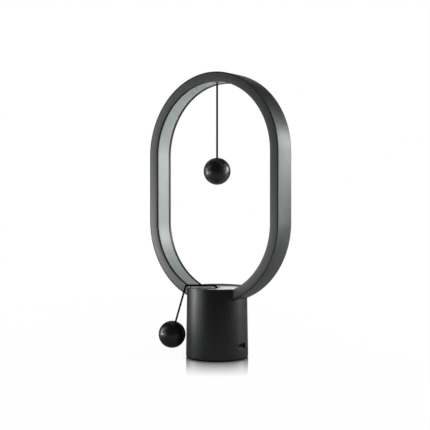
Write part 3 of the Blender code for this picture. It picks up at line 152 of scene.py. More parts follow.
# Sizes that the boxes don't give, as on the solids
GAP = 0.0003
RING_BAND = 0.0083
RING_WALL = 0.0018
BUSH_PROUD = 0.0003
SHELL_FLARE = 0.001
SHELL_WALL = 0.0016
RIM_WIDTH = 0.0014
LEDGE_WIDTH = 0.0014
LEDGE_THICKNESS = 0.0015
POCKET_WIDTH = 0.0098
POCKET_HEIGHT = 0.0046
POCKET_CORNER = 0.001
POCKET_DEPTH = 0.0014
SPIGOT_RADIUS = 0.0027
CORD_DIAMETER = 0.0016
BALL_RADIUS = 0.0117
BALL_WALL = 0.002
SPRING_WIRE = 0.0005
SPRING_TURNS = 6
CORD_BORE = CORD_DIAMETER / 2 + GAP
RING_INNER = RING_RADIUS - RING_BAND
BASE_TOP_RADIUS = shell_high.x - SHELL_FLARE

# Edges, seams, black strips of painted shade, braid and bends, as the photograph shows them
RING_RIM = 0.0005
RING_SEAM = 0.00045
RING_EDGE = 0.0003
# Black strips of painted shade in the ring's seams: their width, film thickness and standoff
SHADE_STRIP_WIDTH = 0.0003
SHADE_STRIP_FILM = 0.00005
SHADE_STRIP_STANDOFF = SHADE_STRIP_FILM / 5
RIM_BEVEL = 0.0007
FOOT_INSET = 0.0003
SOFT_EDGE = 0.0004
FINE_EDGE = 0.00012
BALL_SEAM_DEPTH = 0.00008
BALL_SEAM_WIDTH = 0.00016
BRAID_DIAMETER = 0.0017
CORD_BEND = 0.0034
KNEE_BEND = 0.0018

# The rise of a closed turn of the spring, as a share of the wire
CLOSED_TURN = 1.04

# Fineness of the surfaces
ARC_STEPS = 120
TURN_STEPS = 192
FILLET_STEPS = 6
BEND_STEPS = 12
BALL_STEPS = 60
HOLLOW_STEPS = 40
HOLE_STEPS = 64
SPRING_STEPS = 32
SPRING_SIDES = 10
CORD_SIDES = 16
END_STEPS = 4
SHARP_DEGREES = 40
MERGE = 0.000002
CUT_OVERRUN = 0.002

# Finishes: the braid's strands, the painted light on the base's rim wall, and values on the shader's own sockets
STRANDS = 4
STRAND_PITCH = 0.0016
RIM_LIGHT_PAINT = (0.72, 0.74, 0.72)
SHEENS = {
    "ring_charcoal": {"IOR": 1.7},
    "base_charcoal": {"IOR": 1.7},
    "ball_black": {"IOR": 1.85},
    "frosted_diffuser": {"IOR": 1.7, "Subsurface Weight": 0.15, "Subsurface Scale": 0.001},
    "plate_gloss": {"Coat Weight": 1.0, "Coat Roughness": 0.14},
    "bush_black": {"Specular IOR Level": 0.2},
    "foot_rubber": {"Specular IOR Level": 0.2},
    "cord_black": {"Specular IOR Level": 0.15},
}

# Node values: white, the share that lays a vector level, and the ends of a ramp
WHITE = (1, 1, 1, 1)
LEVEL = (1, 1, 0)
RAMP_ENDS = ("From Min", "From Max", "To Min", "To Max")


def arc(before, corner, after, radius, steps):
    """The arc of that radius that rounds a corner between its neighbours, as points.

    It touches each side radius / tan(half the corner's angle) from the corner. Seen from
    its centre it turns evenly from start to stop: at the share t of the angle a point is
    (sin((1 - t) angle) start + sin(t angle) stop) / sin(angle).
    """
    before, corner, after = (np.array(point, float) for point in (before, corner, after))
    back, on = before - corner, after - corner
    back, on = back / np.linalg.norm(back), on / np.linalg.norm(on)
    half = math.acos(np.clip(back @ on, -1, 1)) / 2
    middle = (back + on) / np.linalg.norm(back + on)
    centre = corner + middle * radius / math.sin(half)
    start = corner + back * radius / math.tan(half) - centre
    stop = corner + on * radius / math.tan(half) - centre
    angle = math.acos(np.clip(start @ stop / radius**2, -1, 1))
    t = np.linspace(0, 1, steps + 1)[:, None]
    return centre + (np.sin((1 - t) * angle) * start + np.sin(t * angle) * stop) / math.sin(angle)


def fillet(corners):
    """A closed outline with each corner (a, b, radius) rounded, or sharp at radius 0."""
    count = len(corners)
    outline = []
    for k, (*corner, radius) in enumerate(corners):
        if radius == 0:
            outline.append(np.array([corner]))
            continue
        before, after = corners[k - 1][:2], corners[(k + 1) % count][:2]
        outline.append(arc(before, corner, after, radius, FILLET_STEPS))
    return np.vstack(outline)


def oblong(low_a, low_b, high_a, high_b, *radius):
    """The corners of an oblong, each with the radius if one is given."""
    corners = (low_a, low_b), (high_a, low_b), (high_a, high_b), (low_a, high_b)
    return [(*corner, *radius) for corner in corners]


def on_circle(radius, angles):
    """The points (radius cos t, radius sin t)."""
    return radius * np.stack([np.cos(angles), np.sin(angles)], axis=1)


def straight(start, stop, step):
    """Points at even steps between two, with both ends."""
    start, stop = np.array(start, float), np.array(stop, float)
    count = max(1, round(float(np.linalg.norm(stop - start)) / step))
    return start + (stop - start) * np.linspace(0, 1, count + 1)[:, None]


def placed(name, points, faces):
    """A mesh object at the origin from points and faces."""
    mesh = bpy.data.meshes.new(name)
    mesh.from_pydata(points.reshape(-1, 3), [], faces)
    piece = bpy.data.objects.new(name, mesh)
    bpy.context.scene.collection.objects.link(piece)
    return piece


def new_piece(name, points, faces, look, uv=None):
    """A smooth piece of that look, with a UV map if one is given."""
    piece = placed(name, points, faces)
    if uv is not None:
        layer = piece.data.uv_layers.new(name="cord")
        layer.data.foreach_set("uv", uv.ravel().astype(np.float32))
    tidy_surface(piece)
    piece.data.materials.append(look)
    return piece


def tidy_surface(piece):
    """Joined doubles, outward normals, and smooth shading with sharp creases."""
    shape = bmesh.new()
    shape.from_mesh(piece.data)
    bmesh.ops.remove_doubles(shape, verts=shape.verts, dist=MERGE)
    bmesh.ops.dissolve_degenerate(shape, dist=MERGE / 2, edges=shape.edges)
    bmesh.ops.recalc_face_normals(shape, faces=shape.faces)
    shape.to_mesh(piece.data)
    shape.free()
    piece.data.shade_smooth()
    piece.data.set_sharp_from_angle(angle=math.radians(SHARP_DEGREES))


def grid_faces(rows, columns, close_rows=True):
    """Quads between neighbouring points of a grid of closed rows, the last next to the first."""
    i, j = np.meshgrid(np.arange(rows if close_rows else rows - 1), np.arange(columns),
                       indexing="ij")
    i, j = i.ravel(), j.ravel()
    i2, j2 = (i + 1) % rows, (j + 1) % columns
    return np.stack([i * columns + j, i * columns + j2, i2 * columns + j2, i2 * columns + j],
                    axis=1).tolist()


def turned(name, outline, look, centre=(0, 0, 0), axis=(0, 0, 1), steps=TURN_STEPS):
    """A closed outline of (radius, height) turned about an axis.

    A point at angle t is (radius cos t, radius sin t, height), and the whole is then turned
    from +Z to the axis and moved to the centre.
    """
    angles = np.linspace(0, math.tau, steps, endpoint=False)[:, None]
    radius, height = np.asarray(outline, float).T
    points = np.stack([radius * np.cos(angles), radius * np.sin(angles),
                       np.broadcast_to(height, (steps, len(height)))], axis=-1)
    turn = np.array(Vector((0, 0, 1)).rotation_difference(Vector(axis)).to_matrix())
    points = points @ turn.T + np.array(centre)
    return new_piece(name, points, grid_faces(steps, len(height)), look)


def stadium():
    """Stations round the ring as (cos, sin, height of the arc's centre).

    Each angle runs evenly through half a turn about the upper centre and half a turn about
    the lower one, and the straight sides join the two.
    """
    half = np.linspace(0, math.pi, ARC_STEPS + 1)
    angle = np.concatenate([half, half + math.pi])
    centre = np.repeat([ARC_TOP_Z, ARC_LOW_Z], ARC_STEPS + 1)
    return np.cos(angle), np.sin(angle), centre


def carried_round(name, outline, look):
    """A closed outline of (distance from the arc's centre, depth) carried round the ring.

    At a station (cos, sin, centre) a point is (distance cos, depth, centre + distance sin).
    """
    cos, sin, centre = (part[:, None] for part in stadium())
    distance, depth = np.asarray(outline, float).T
    points = np.stack([distance * cos, np.broadcast_to(depth, (len(cos), len(depth))),
                       centre + distance * sin], axis=-1)
    return new_piece(name, points, grid_faces(len(cos), len(depth)), look)


def slab(name, outline, along, low, high):
    """An outline in the plane square to X or Y, as a prism from low to high."""
    a, b = np.asarray(outline, float).T
    levels = np.array([[low], [high]]) + 0 * a
    a, b = np.broadcast_to(a, levels.shape), np.broadcast_to(b, levels.shape)
    order = (levels, a, b) if along == "X" else (a, levels, b)
    count = len(outline)
    faces = grid_faces(2, count, close_rows=False)
    faces += [list(range(count)), list(range(count, 2 * count))]
    return new_piece(name, np.stack(order, axis=-1), faces, None)


def cut(piece, *tools):
    """The tools are cut away from the piece and used up."""
    for tool in tools:
        step = piece.modifiers.new(tool.name, "BOOLEAN")
        step.operation = "DIFFERENCE"
        step.solver = "EXACT"
        step.object = tool
    bpy.context.view_layer.update()
    finished = bpy.data.meshes.new_from_object(
        piece.evaluated_get(bpy.context.evaluated_depsgraph_get()))
    look = piece.data.materials[0]
    piece.modifiers.clear()
    piece.data = finished
    finished.materials.clear()
    finished.materials.append(look)
    for tool in tools:
        bpy.data.objects.remove(tool)
    tidy_surface(piece)


def tube(name, path, radius, look, side, sides=CORD_SIDES):
    """A round tube along a path, with half-round ends and a UV map.

    A point is the path's point plus radius times (cos t side + sin t up), where side is
    square to the path, given once or at each of its points, and up is square to both.
    Towards each end the radius falls as the sine of an angle while the centre moves on by
    its cosine, which makes a half ball. U is the share of the turn, and V the way along
    the path in metres.
    """
    path = np.asarray(path, float)
    tangent = np.gradient(path, axis=0)
    tangent /= np.linalg.norm(tangent, axis=1)[:, None]
    side = np.broadcast_to(np.asarray(side, float), path.shape)
    up = np.cross(side, tangent)
    up /= np.linalg.norm(up, axis=1)[:, None]
    quarter = np.linspace(0, math.pi / 2, END_STEPS + 1)[:-1]
    head = path[0] - radius * np.cos(quarter)[:, None] * tangent[0]
    tail = (path[-1] + radius * np.cos(quarter)[:, None] * tangent[-1])[::-1]
    centres = np.vstack([head, path, tail])
    ends = ((END_STEPS, END_STEPS), (0, 0))
    side, up = (np.pad(way, ends, mode="edge")[:, None, :] for way in (side, up))
    radii = radius * np.concatenate([np.sin(quarter), np.ones(len(path)), np.sin(quarter)[::-1]])
    angles = np.linspace(0, math.tau, sides, endpoint=False)[:, None]
    around = np.cos(angles) * side + np.sin(angles) * up
    points = centres[:, None, :] + radii[:, None, None] * around
    along = np.concatenate([[0], np.cumsum(np.linalg.norm(np.diff(centres, axis=0), axis=1))])
    rows, columns = np.meshgrid(np.arange(len(centres) - 1), np.arange(sides), indexing="ij")
    rows, columns = rows.ravel(), columns.ravel()
    u = np.stack([columns, columns + 1, columns + 1, columns], axis=1) / sides
    v = along[np.stack([rows, rows, rows + 1, rows + 1], axis=1)]
    faces = grid_faces(len(centres), sides, close_rows=False)
    return new_piece(name, points, faces, look, np.stack([u, v], axis=-1))


class Nodes:
    """A node tree, with short ways to add nodes. A term is an output or a constant."""

    def __init__(self, tree):
        """Nodes are added to this tree."""
        self.tree = tree

    def feed(self, term, target):
        """An input takes a term: an output by a link, a constant as its own value."""
        if isinstance(term, bpy.types.NodeSocket):
            self.tree.links.new(term, target)
        else:
            target.default_value = term

    def node(self, kind, **values):
        """A new node. A value goes to the input of that name, or else to the setting."""
        made = self.tree.nodes.new(kind)
        for key, value in values.items():
            if key in made.inputs:
                self.feed(value, made.inputs[key])
            else:
                setattr(made, key, value)
        return made

    def result(self, kind, output=0, **values):
        """The output of a new node, by name or number."""
        return self.node(kind, **values).outputs[output]

    def calc(self, operation, *terms, clamp=False):
        """The result of a Math node on the terms."""
        made = self.node("ShaderNodeMath", operation=operation, use_clamp=clamp)
        for term, target in zip(terms, made.inputs):
            self.feed(term, target)
        return made.outputs[0]

    def vector(self, operation, *terms):
        """The result of a Vector Math node on the terms."""
        made = self.node("ShaderNodeVectorMath", operation=operation)
        for term, target in zip(terms, made.inputs):
            self.feed(term, target)
        return made.outputs["Value" if operation in ("LENGTH", "DOT_PRODUCT") else "Vector"]

    def ramp(self, source, start, stop, low, high, kind="LINEAR"):
        """The source's way from start to stop, as a value from low to high."""
        made = self.node("ShaderNodeMapRange", interpolation_type=kind, Value=source)
        for name, value in zip(RAMP_ENDS, (start, stop, low, high)):
            made.inputs[name].default_value = value
        return made.outputs["Result"]

    def colours(self, share, first, second):
        """The first colour where the share is 0, and the second where it is 1."""
        return self.result("ShaderNodeMix", "Result", data_type="RGBA", Factor=share,
                           A=first, B=second)

    def shaders(self, share, first, second):
        """The first shader where the share is 0, and the second where it is 1."""
        made = self.node("ShaderNodeMixShader", Fac=share)
        self.feed(first, made.inputs[1])
        self.feed(second, made.inputs[2])
        return made.outputs[0]

    def sector(self, way, azimuth, inner, outer):
        """1 where a way, laid level, is within inner degrees of the azimuth, 0 past outer."""
        unit = self.vector("NORMALIZE", self.vector("MULTIPLY", way, LEVEL))
        angle = math.radians(azimuth)
        toward = self.vector("DOT_PRODUCT", unit, (math.cos(angle), math.sin(angle), 0))
        start, stop = math.cos(math.radians(outer)), math.cos(math.radians(inner))
        return self.ramp(toward, start, stop, 0, 1, "SMOOTHSTEP")

    def wall_side(self, way):
        """1 towards the white wall's sector, and 0 away from it."""
        return self.sector(way, HEADING, WALL_HALF_WIDTH, WALL_HALF_WIDTH + WALL_SIDE_FADE)

    def mirror_rays(self, rays):
        """1 for the rays that a surface mirrors or lets through."""
        return self.calc("MAXIMUM", rays["Is Glossy Ray"], rays["Is Transmission Ray"])


class Look(Nodes):
    """A material whose shader is fed by procedural nodes."""

    def __init__(self, name, colour, roughness, metallic=0.0):
        """A new material, plain until its nodes are added."""
        self.material = bpy.data.materials.new(name)
        self.material.use_nodes = True
        super().__init__(self.material.node_tree)
        self.shader = self.tree.nodes["Principled BSDF"]
        self.shader.inputs["Metallic"].default_value = metallic
        self.shader.inputs["Roughness"].default_value = roughness
        self.shader.inputs["Base Color"].default_value = (*colour, 1)
        self.colour, self.roughness = colour, roughness
        self.place = self.node("ShaderNodeTexCoord").outputs
        self.normal = None

    def noise(self, scale, detail=2, stretch=None):
        """Noise at a scale in features per metre, stretched by a mapping if asked."""
        source = self.place["Object"]
        if stretch:
            source = self.result("ShaderNodeMapping", Vector=source, Scale=stretch)
        return self.result("ShaderNodeTexNoise", "Fac", Vector=source, Scale=scale, Detail=detail)

    def tint(self, source, share):
        """The colour swings by a share about its own value, as the source does."""
        dark = [c * (1 - share) for c in self.colour]
        pale = [min(1, c * (1 + share)) for c in self.colour]
        self.feed(self.colours(source, (*dark, 1), (*pale, 1)), self.shader.inputs["Base Color"])

    def paint_light_within(self, radius, height, colour):
        """A pale band of painted light where the surface is nearer the axis than the radius, above the height."""
        place = self.place["Object"]
        rise = self.result("ShaderNodeSeparateXYZ", "Z", Vector=place)
        reach = self.vector("LENGTH", self.vector("MULTIPLY", place, LEVEL))
        inside = self.calc("LESS_THAN", reach, radius)
        above = self.calc("GREATER_THAN", rise, height)
        band = self.calc("MULTIPLY", inside, above)
        base = self.shader.inputs["Base Color"]
        self.feed(self.colours(band, base.links[0].from_socket, (*colour, 1)), base)

    def vary_roughness(self, source, share):
        """The roughness swings by a share about its own value, as the source does."""
        low, high = self.roughness * (1 - share), self.roughness * (1 + share)
        self.feed(self.ramp(source, 0, 1, low, high), self.shader.inputs["Roughness"])

    def bump(self, source, depth):
        """The source as a height in metres, added to the bumps made before."""
        made = self.node("ShaderNodeBump", Strength=1.0, Distance=depth, Height=source)
        if self.normal is not None:
            self.feed(self.normal, made.inputs["Normal"])
        self.normal = made.outputs["Normal"]
        self.feed(self.normal, self.shader.inputs["Normal"])


def moulded(name, colour, roughness, depth=0.000006, grain=9000, tint=0.06):
    """Moulded plastic: a fine spark-eroded grain, faint clouding and an uneven sheen."""
    look = Look(name, colour, roughness)
    look.tint(look.noise(scale=60, detail=3), share=tint)
    look.vary_roughness(look.noise(scale=220, detail=4), share=0.10)
    look.bump(look.noise(scale=grain), depth=depth)
    return look


def metal(name, colour, roughness, stretch=None):
    """Bare or plated metal: faint clouding and a grain, drawn out if a stretch is given."""
    look = Look(name, colour, roughness, metallic=1.0)
    look.tint(look.noise(scale=900, detail=3), share=0.10)
    look.vary_roughness(look.noise(scale=4000, stretch=stretch), share=0.30)
    look.bump(look.noise(scale=7000, stretch=stretch), depth=0.000004)
    return look


def braided(name, colour, roughness):
    """A braided sleeve: two sets of strands wound opposite ways along the cord's UV map.

    At (u, v) a set's height is the sine of STRANDS * (v / STRAND_PITCH + or - 2 pi u).
    """
    look = Look(name, colour, roughness)
    parts = look.node("ShaderNodeSeparateXYZ", Vector=look.place["UV"]).outputs
    heights = []
    for sign in (1, -1):
        around = look.calc("MULTIPLY", parts["X"], sign * STRANDS * math.tau)
        angle = look.calc("MULTIPLY_ADD", parts["Y"], STRANDS / STRAND_PITCH, around)
        heights.append(look.ramp(look.calc("SINE", angle), -1, 1, 0, 1))
    braid = look.calc("MAXIMUM", *heights)
    # The colour is darker in the grooves between strands and paler on their crowns: painted shade in the grooves
    look.tint(braid, share=0.5)
    look.bump(braid, depth=0.00012)
    look.bump(look.noise(scale=14000), depth=0.00003)
    return look


def make_looks():
    """The material of each slot."""
    looks = {
        "ring_charcoal": moulded("ring charcoal plastic", (0.066, 0.073, 0.066), 0.38),
        "base_charcoal": moulded("base charcoal plastic", (0.009, 0.013, 0.009), 0.38),
        "bush_black": moulded("black bush rubber", (0.022, 0.024, 0.022), 0.60),
        "black_plastic": moulded("black inner plastic", (0.020, 0.020, 0.021), 0.50),
        "white_plastic": moulded("white switch plastic", (0.72, 0.72, 0.70), 0.42),
        "ball_black": moulded("black ball plastic", (0.004, 0.008, 0.005), 0.32, depth=0.0000004),
        "foot_rubber": moulded("foam rubber foot", (0.005, 0.005, 0.005), 0.85,
                               depth=0.00004, grain=3500, tint=0.3),
        "frosted_diffuser": moulded("frosted diffuser", (0.67, 0.72, 0.715), 0.40,
                                    depth=0.000008, grain=6000, tint=0.03),
        "lamp_strip": moulded("white lamp strip", (0.80, 0.80, 0.76), 0.50),
        "plate_gloss": moulded("polished black plate", (0.012, 0.013, 0.013), 0.22,
                               depth=0.0000002, grain=2500),
        "board_green": moulded("green circuit board", (0.02, 0.13, 0.05), 0.35,
                               depth=0.00002, grain=2500, tint=0.25),
        "wire_red": moulded("red wire insulation", (0.45, 0.02, 0.02), 0.45),
        "wire_black": moulded("black wire insulation", (0.015, 0.015, 0.015), 0.45),
        "magnet_nickel": metal("nickel magnet", (0.60, 0.58, 0.55), 0.22),
        "zinc_steel": metal("zinc-plated steel", (0.55, 0.56, 0.58), 0.35),
        "cast_iron": metal("cast ballast iron", (0.12, 0.12, 0.12), 0.65),
        "socket_tin": metal("dark nickel socket shell", (0.10, 0.10, 0.10), 0.50,
                            stretch=(1, 8, 8)),
        "cord_black": braided("braided black cord", (0.003, 0.003, 0.003), 0.75),
    }
    for slot, sheen in SHEENS.items():
        for socket, value in sheen.items():
            looks[slot].shader.inputs[socket].default_value = value
    # Painted light: the rim's bevel and inner wall are painted pale to stand for light falling on them
    bevel_edge = BASE_TOP_RADIUS - RIM_WIDTH + RIM_BEVEL
    looks["base_charcoal"].paint_light_within(bevel_edge, plate_low.z, RIM_LIGHT_PAINT)
    return {slot: look.material for slot, look in looks.items()}


def dress(piece, body, slot, *replaced):
    """The piece rides on its body and stands for the solids named. The slot is not used."""
    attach(piece, body)
    if replaced:
        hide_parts(*replaced)


def make_ring(looks):
    """The channel, the front cover let into it, the diffuser, and the black strips of painted shade beside that.
    """
    front, back = -RING_HALF_DEPTH, RING_HALF_DEPTH
    cover_back = cover_high.y
    lip = diffuser_high.y + GAP
    rim = RING_RADIUS - RING_RIM
    wall = RING_RADIUS - RING_WALL
    channel = carried_round("ring_channel_moulding", fillet([
        (rim, front, FINE_EDGE), (RING_RADIUS, front, RING_EDGE), (RING_RADIUS, back, RING_EDGE),
        (RING_INNER, back, RING_EDGE), (RING_INNER, lip, FINE_EDGE), (wall, lip, 0),
        (wall, cover_back + GAP, 0), (rim, cover_back + GAP, 0),
    ]), looks["ring_charcoal"])
    dress(channel, "root", "ring_charcoal", "ring_channel")
    cover = carried_round("ring_cover_moulding", fillet([
        (rim - RING_SEAM, front, FINE_EDGE), (RING_INNER, front, RING_EDGE),
        (RING_INNER, cover_back, FINE_EDGE), (rim - RING_SEAM, cover_back, 0),
    ]), looks["ring_charcoal"])
    dress(cover, "root", "ring_charcoal", "ring_front_cover")
    inner = bush_low.z - ARC_TOP_Z + BUSH_PROUD
    diffuser = carried_round("diffuser_band", fillet([
        (inner, diffuser_low.y, FINE_EDGE), (inner, diffuser_high.y, FINE_EDGE),
        (diffuser_high.x, diffuser_high.y, 0), (diffuser_high.x, diffuser_low.y, 0),
    ]), looks["frosted_diffuser"])
    dress(diffuser, "root", "frosted_diffuser", "ring_diffuser")
    # Painted shade: a thin black strip lines the cover's inner wall and the diffuser's front edge for the shade in
    # that seam, and another lines the channel's lip behind the diffuser for the shade in that seam
    proud, under = RING_INNER - SHADE_STRIP_FILM, RING_INNER - SHADE_STRIP_STANDOFF
    shade_strip_back = diffuser_low.y + SHADE_STRIP_WIDTH
    shade_strip = carried_round("front_shade_strip", [
        (proud, front + RING_EDGE), (proud, shade_strip_back), (inner - SHADE_STRIP_FILM, shade_strip_back),
        (inner - SHADE_STRIP_FILM, cover_back + SHADE_STRIP_FILM), (under, cover_back + SHADE_STRIP_FILM),
        (under, front + RING_EDGE),
    ], looks["bush_black"])
    dress(shade_strip, "root", "bush_black")
    middle = (lip + back) / 2
    shade_strip = carried_round("rear_shade_strip", [
        (proud, middle), (proud, back - RING_EDGE), (under, back - RING_EDGE), (under, middle),
    ], looks["bush_black"])
    dress(shade_strip, "root", "bush_black")


def ball_outline():
    """Outer arc with a hairline seam at its middle, the cord's hole, and the inner arc."""
    inner = BALL_RADIUS - BALL_WALL
    seam = BALL_SEAM_WIDTH / 2 / BALL_RADIUS
    hole = math.acos((CORD_BORE + FINE_EDGE) / BALL_RADIUS)
    outline = np.vstack([
        on_circle(BALL_RADIUS, np.linspace(-math.pi / 2, -seam, BALL_STEPS)),
        [[BALL_RADIUS - BALL_SEAM_DEPTH, 0]],
        on_circle(BALL_RADIUS, np.linspace(seam, hole, BALL_STEPS)),
        [[CORD_BORE, BALL_RADIUS * math.sin(hole) - FINE_EDGE]],
        on_circle(inner, np.linspace(math.acos(CORD_BORE / inner), -math.pi / 2, HOLLOW_STEPS)),
    ])
    outline[np.abs(outline[:, 0]) < MERGE, 0] = 0
    return outline


def make_balls(looks):
    """Both balls, the lower one in line with the stretch of cord that it hangs on."""
    hang = (LOWER_BALL - KNEE).normalized()
    for side, centre, up in (("upper", UPPER_BALL, (0, 0, 1)), ("lower", LOWER_BALL, -hang)):
        ball = turned(f"{side}_ball", ball_outline(), looks["ball_black"], centre, up)
        dress(ball, f"{side}_ball", "ball_black", f"{side}_ball_cap", f"{side}_ball_cup")
        # Mirror rays miss the balls, because the photographed floor mirrors only the base
        ball.visible_glossy = False
        for inner in ("magnet", "cord_knot"):
            frame["nodes"][f"{side}_{inner}"].visible_glossy = False


def make_cords(looks):
    """The upper cord hangs from its bead. The lower one leaves the hole and crosses the rim."""
    look = looks["cord_black"]
    step = CORD_DIAMETER / 2
    top = Vector((0, 0, bead_low.z))
    path = straight(top, (0, 0, knot_high.z), step)
    upper = tube("upper_cord_braid", path, BRAID_DIAMETER / 2, look, (0, 1, 0))
    dress(upper, "upper_line", "cord_black", "upper_cord")

    outward = (KNEE - HOLE_PIVOT).normalized()
    side = Vector((0, 0, 1)).cross(outward)
    drop = (LOWER_BALL - KNEE).normalized()
    start = Vector((0, 0, stub_low.z))
    reach = HOLE_PIVOT + outward * (CORD_BEND + CORD_DIAMETER)
    root = np.vstack([
        straight(start, HOLE_PIVOT - Vector((0, 0, CORD_BEND)), step)[:-1],
        arc(start, HOLE_PIVOT, KNEE, CORD_BEND, BEND_STEPS),
        straight(HOLE_PIVOT + outward * CORD_BEND, reach, step)[1:],
    ])
    elbow = tube("lower_cord_elbow", root, BRAID_DIAMETER / 2, look, side)
    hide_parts("lower_cord_stub")
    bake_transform(elbow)

    knot_depth = (UPPER_BALL - Vector((0, 0, knot_high.z))).length
    end = LOWER_BALL - drop * knot_depth
    turn = KNEE_BEND * math.tan(outward.angle(drop) / 2)
    path = np.vstack([
        straight(reach, KNEE - outward * turn, step)[:-1],
        arc(HOLE_PIVOT, KNEE, LOWER_BALL, KNEE_BEND, BEND_STEPS),
        straight(KNEE + drop * turn, end, step)[1:],
    ])
    lower = tube("lower_cord_braid", path, BRAID_DIAMETER / 2, look, side)
    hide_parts("lower_cord_run", "lower_cord_drop")
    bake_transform(lower)


def make_spring(looks):
    """The return spring, with a closed turn at each end. The real one shortens as the cord is pulled; this piece
    keeps its length.

    At angle t a point is (mean cos t, mean sin t, height). The height climbs little more
    than one wire in the turn at either end, and evenly in between.
    """
    mean = (spring_high.x - spring_low.x - SPRING_WIRE) / 2
    low, high = spring_low.z + SPRING_WIRE / 2, spring_high.z - SPRING_WIRE / 2
    turns = np.linspace(0, SPRING_TURNS, SPRING_TURNS * SPRING_STEPS + 1)
    closed = SPRING_WIRE * CLOSED_TURN
    climb = np.interp(turns, [0, 1, SPRING_TURNS - 1, SPRING_TURNS],
                      [low, low + closed, high - closed, high])
    angle = math.tau * turns
    out = np.stack([np.cos(angle), np.sin(angle), 0 * angle], axis=1)
    path = out * mean + climb[:, None] * np.array((0, 0, 1))
    spring = tube("return_spring_coil", path, SPRING_WIRE / 2, looks["zinc_steel"], out,
                  sides=SPRING_SIDES)
    dress(spring, "root", "zinc_steel", "return_spring")
    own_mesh(spring)


def ring_space(name):
    """A prism that clears the ring's lower arc and all that is inside it."""
    angles = np.linspace(0, math.tau, 2 * ARC_STEPS, endpoint=False)
    outline = on_circle(RING_RADIUS + GAP, angles) + (0, ARC_LOW_Z)
    return slab(name, outline, "Y", -RING_HALF_DEPTH - GAP, RING_HALF_DEPTH + GAP)


def make_base(looks):
    """The shell with its ring slots and socket pocket, and the plate let into its top."""
    top = BASE_TOP_RADIUS
    inner = top - SHELL_WALL
    seat = plate_low.z - GAP
    ledge = inner - LEDGE_WIDTH
    ledge_low = seat - LEDGE_THICKNESS
    shell = turned("base_shell_moulding", fillet([
        (inner, shell_low.z, 0), (shell_high.x, shell_low.z, SOFT_EDGE),
        (top, shell_high.z, SOFT_EDGE), (top - RIM_WIDTH + RIM_BEVEL, shell_high.z, FINE_EDGE),
        (top - RIM_WIDTH, shell_high.z - RIM_BEVEL, FINE_EDGE),
        (top - RIM_WIDTH, seat, 0), (ledge, seat, 0), (ledge, ledge_low, 0),
        (inner, ledge_low - LEDGE_WIDTH, 0),
    ]), looks["base_charcoal"])
    half_width, half_height = POCKET_WIDTH / 2, POCKET_HEIGHT / 2
    height = (socket_low.z + socket_high.z) / 2
    pocket = slab("pocket", fillet(oblong(
        -half_width, height - half_height, half_width, height + half_height, POCKET_CORNER,
    )), "X", socket_high.x + GAP, shell_high.x + POCKET_DEPTH)
    window = slab("window", oblong(
        socket_low.y - GAP, socket_low.z - GAP, socket_high.y + GAP, socket_high.z + GAP,
    ), "X", inner - POCKET_DEPTH, shell_high.x + POCKET_DEPTH)
    cut(shell, ring_space("ring_space"), pocket, window)
    dress(shell, "root", "base_charcoal", "base_shell")

    plate = turned("top_plate_disc", fillet([
        (0, plate_low.z, 0), (plate_high.y, plate_low.z, 0),
        (plate_high.y, plate_high.z, SOFT_EDGE), (0, plate_high.z, 0),
    ]), looks["plate_gloss"])
    band = carried_round("band", oblong(
        RING_INNER - GAP, -RING_HALF_DEPTH - GAP, RING_RADIUS + GAP, RING_HALF_DEPTH + GAP,
    ), None)
    hole = turned("hole", oblong(
        0, plate_low.z - CUT_OVERRUN, SPIGOT_RADIUS + GAP, guide_high.z + CUT_OVERRUN,
    ), None, steps=HOLE_STEPS)
    cut(plate, band, hole)
    dress(plate, "root", "plate_gloss", "top_plate")


def make_foot(looks):
    """The foam rubber foot: a disc with a thin brim that runs out under the shell's edge."""
    brim = shell_high.x - FOOT_INSET
    brim_top = shell_low.z - GAP / 3
    foot = turned("foot_pad_disc", fillet([
        (0, pad_low.z, 0), (brim, pad_low.z, FINE_EDGE), (brim, brim_top, FINE_EDGE),
        (pad_high.x, brim_top, 0), (pad_high.x, pad_high.z, FINE_EDGE), (0, pad_high.z, 0),
    ]), looks["foot_rubber"])
    dress(foot, "root", "foot_rubber", "foot_pad")


def paint_solids(looks):
    """Every solid that still shows takes the finish of its material slot."""
    slots = {part["node"]: part["material_slot"] for part in frame["record"]["subparts"]}
    for name, node in frame["nodes"].items():
        if node.hide_render:
            continue
        node.data.materials.clear()
        node.data.materials.append(looks[slots[name]])


def make_light():
    """Soft boxes round the lamp, each facing its middle, with the strength as radiance."""
    middle = Vector((0, 0, STUDIO_MIDDLE))
    for name, (azimuth, height, width, tall, strength) in SOFT_BOXES.items():
        light = bpy.data.lights.new(name, "AREA")
        light.shape = "RECTANGLE"
        light.color = LAMP_TINT
        light.size, light.size_y = width, tall
        light.energy = strength * math.pi * width * tall
        angle = math.radians(azimuth)
        place = Vector((STUDIO_RADIUS * math.cos(angle), STUDIO_RADIUS * math.sin(angle), height))
        turn = (middle - place).to_track_quat("-Z", "Y").to_matrix().to_4x4()
        box = bpy.data.objects.new(name, light)
        bpy.context.scene.collection.objects.link(box)
        box.matrix_world = Matrix.Translation(place) @ turn
        box.visible_camera = False


def rise_at(degrees):
    """The Z of a unit vector at that many degrees above level."""
    return math.sin(math.radians(degrees))


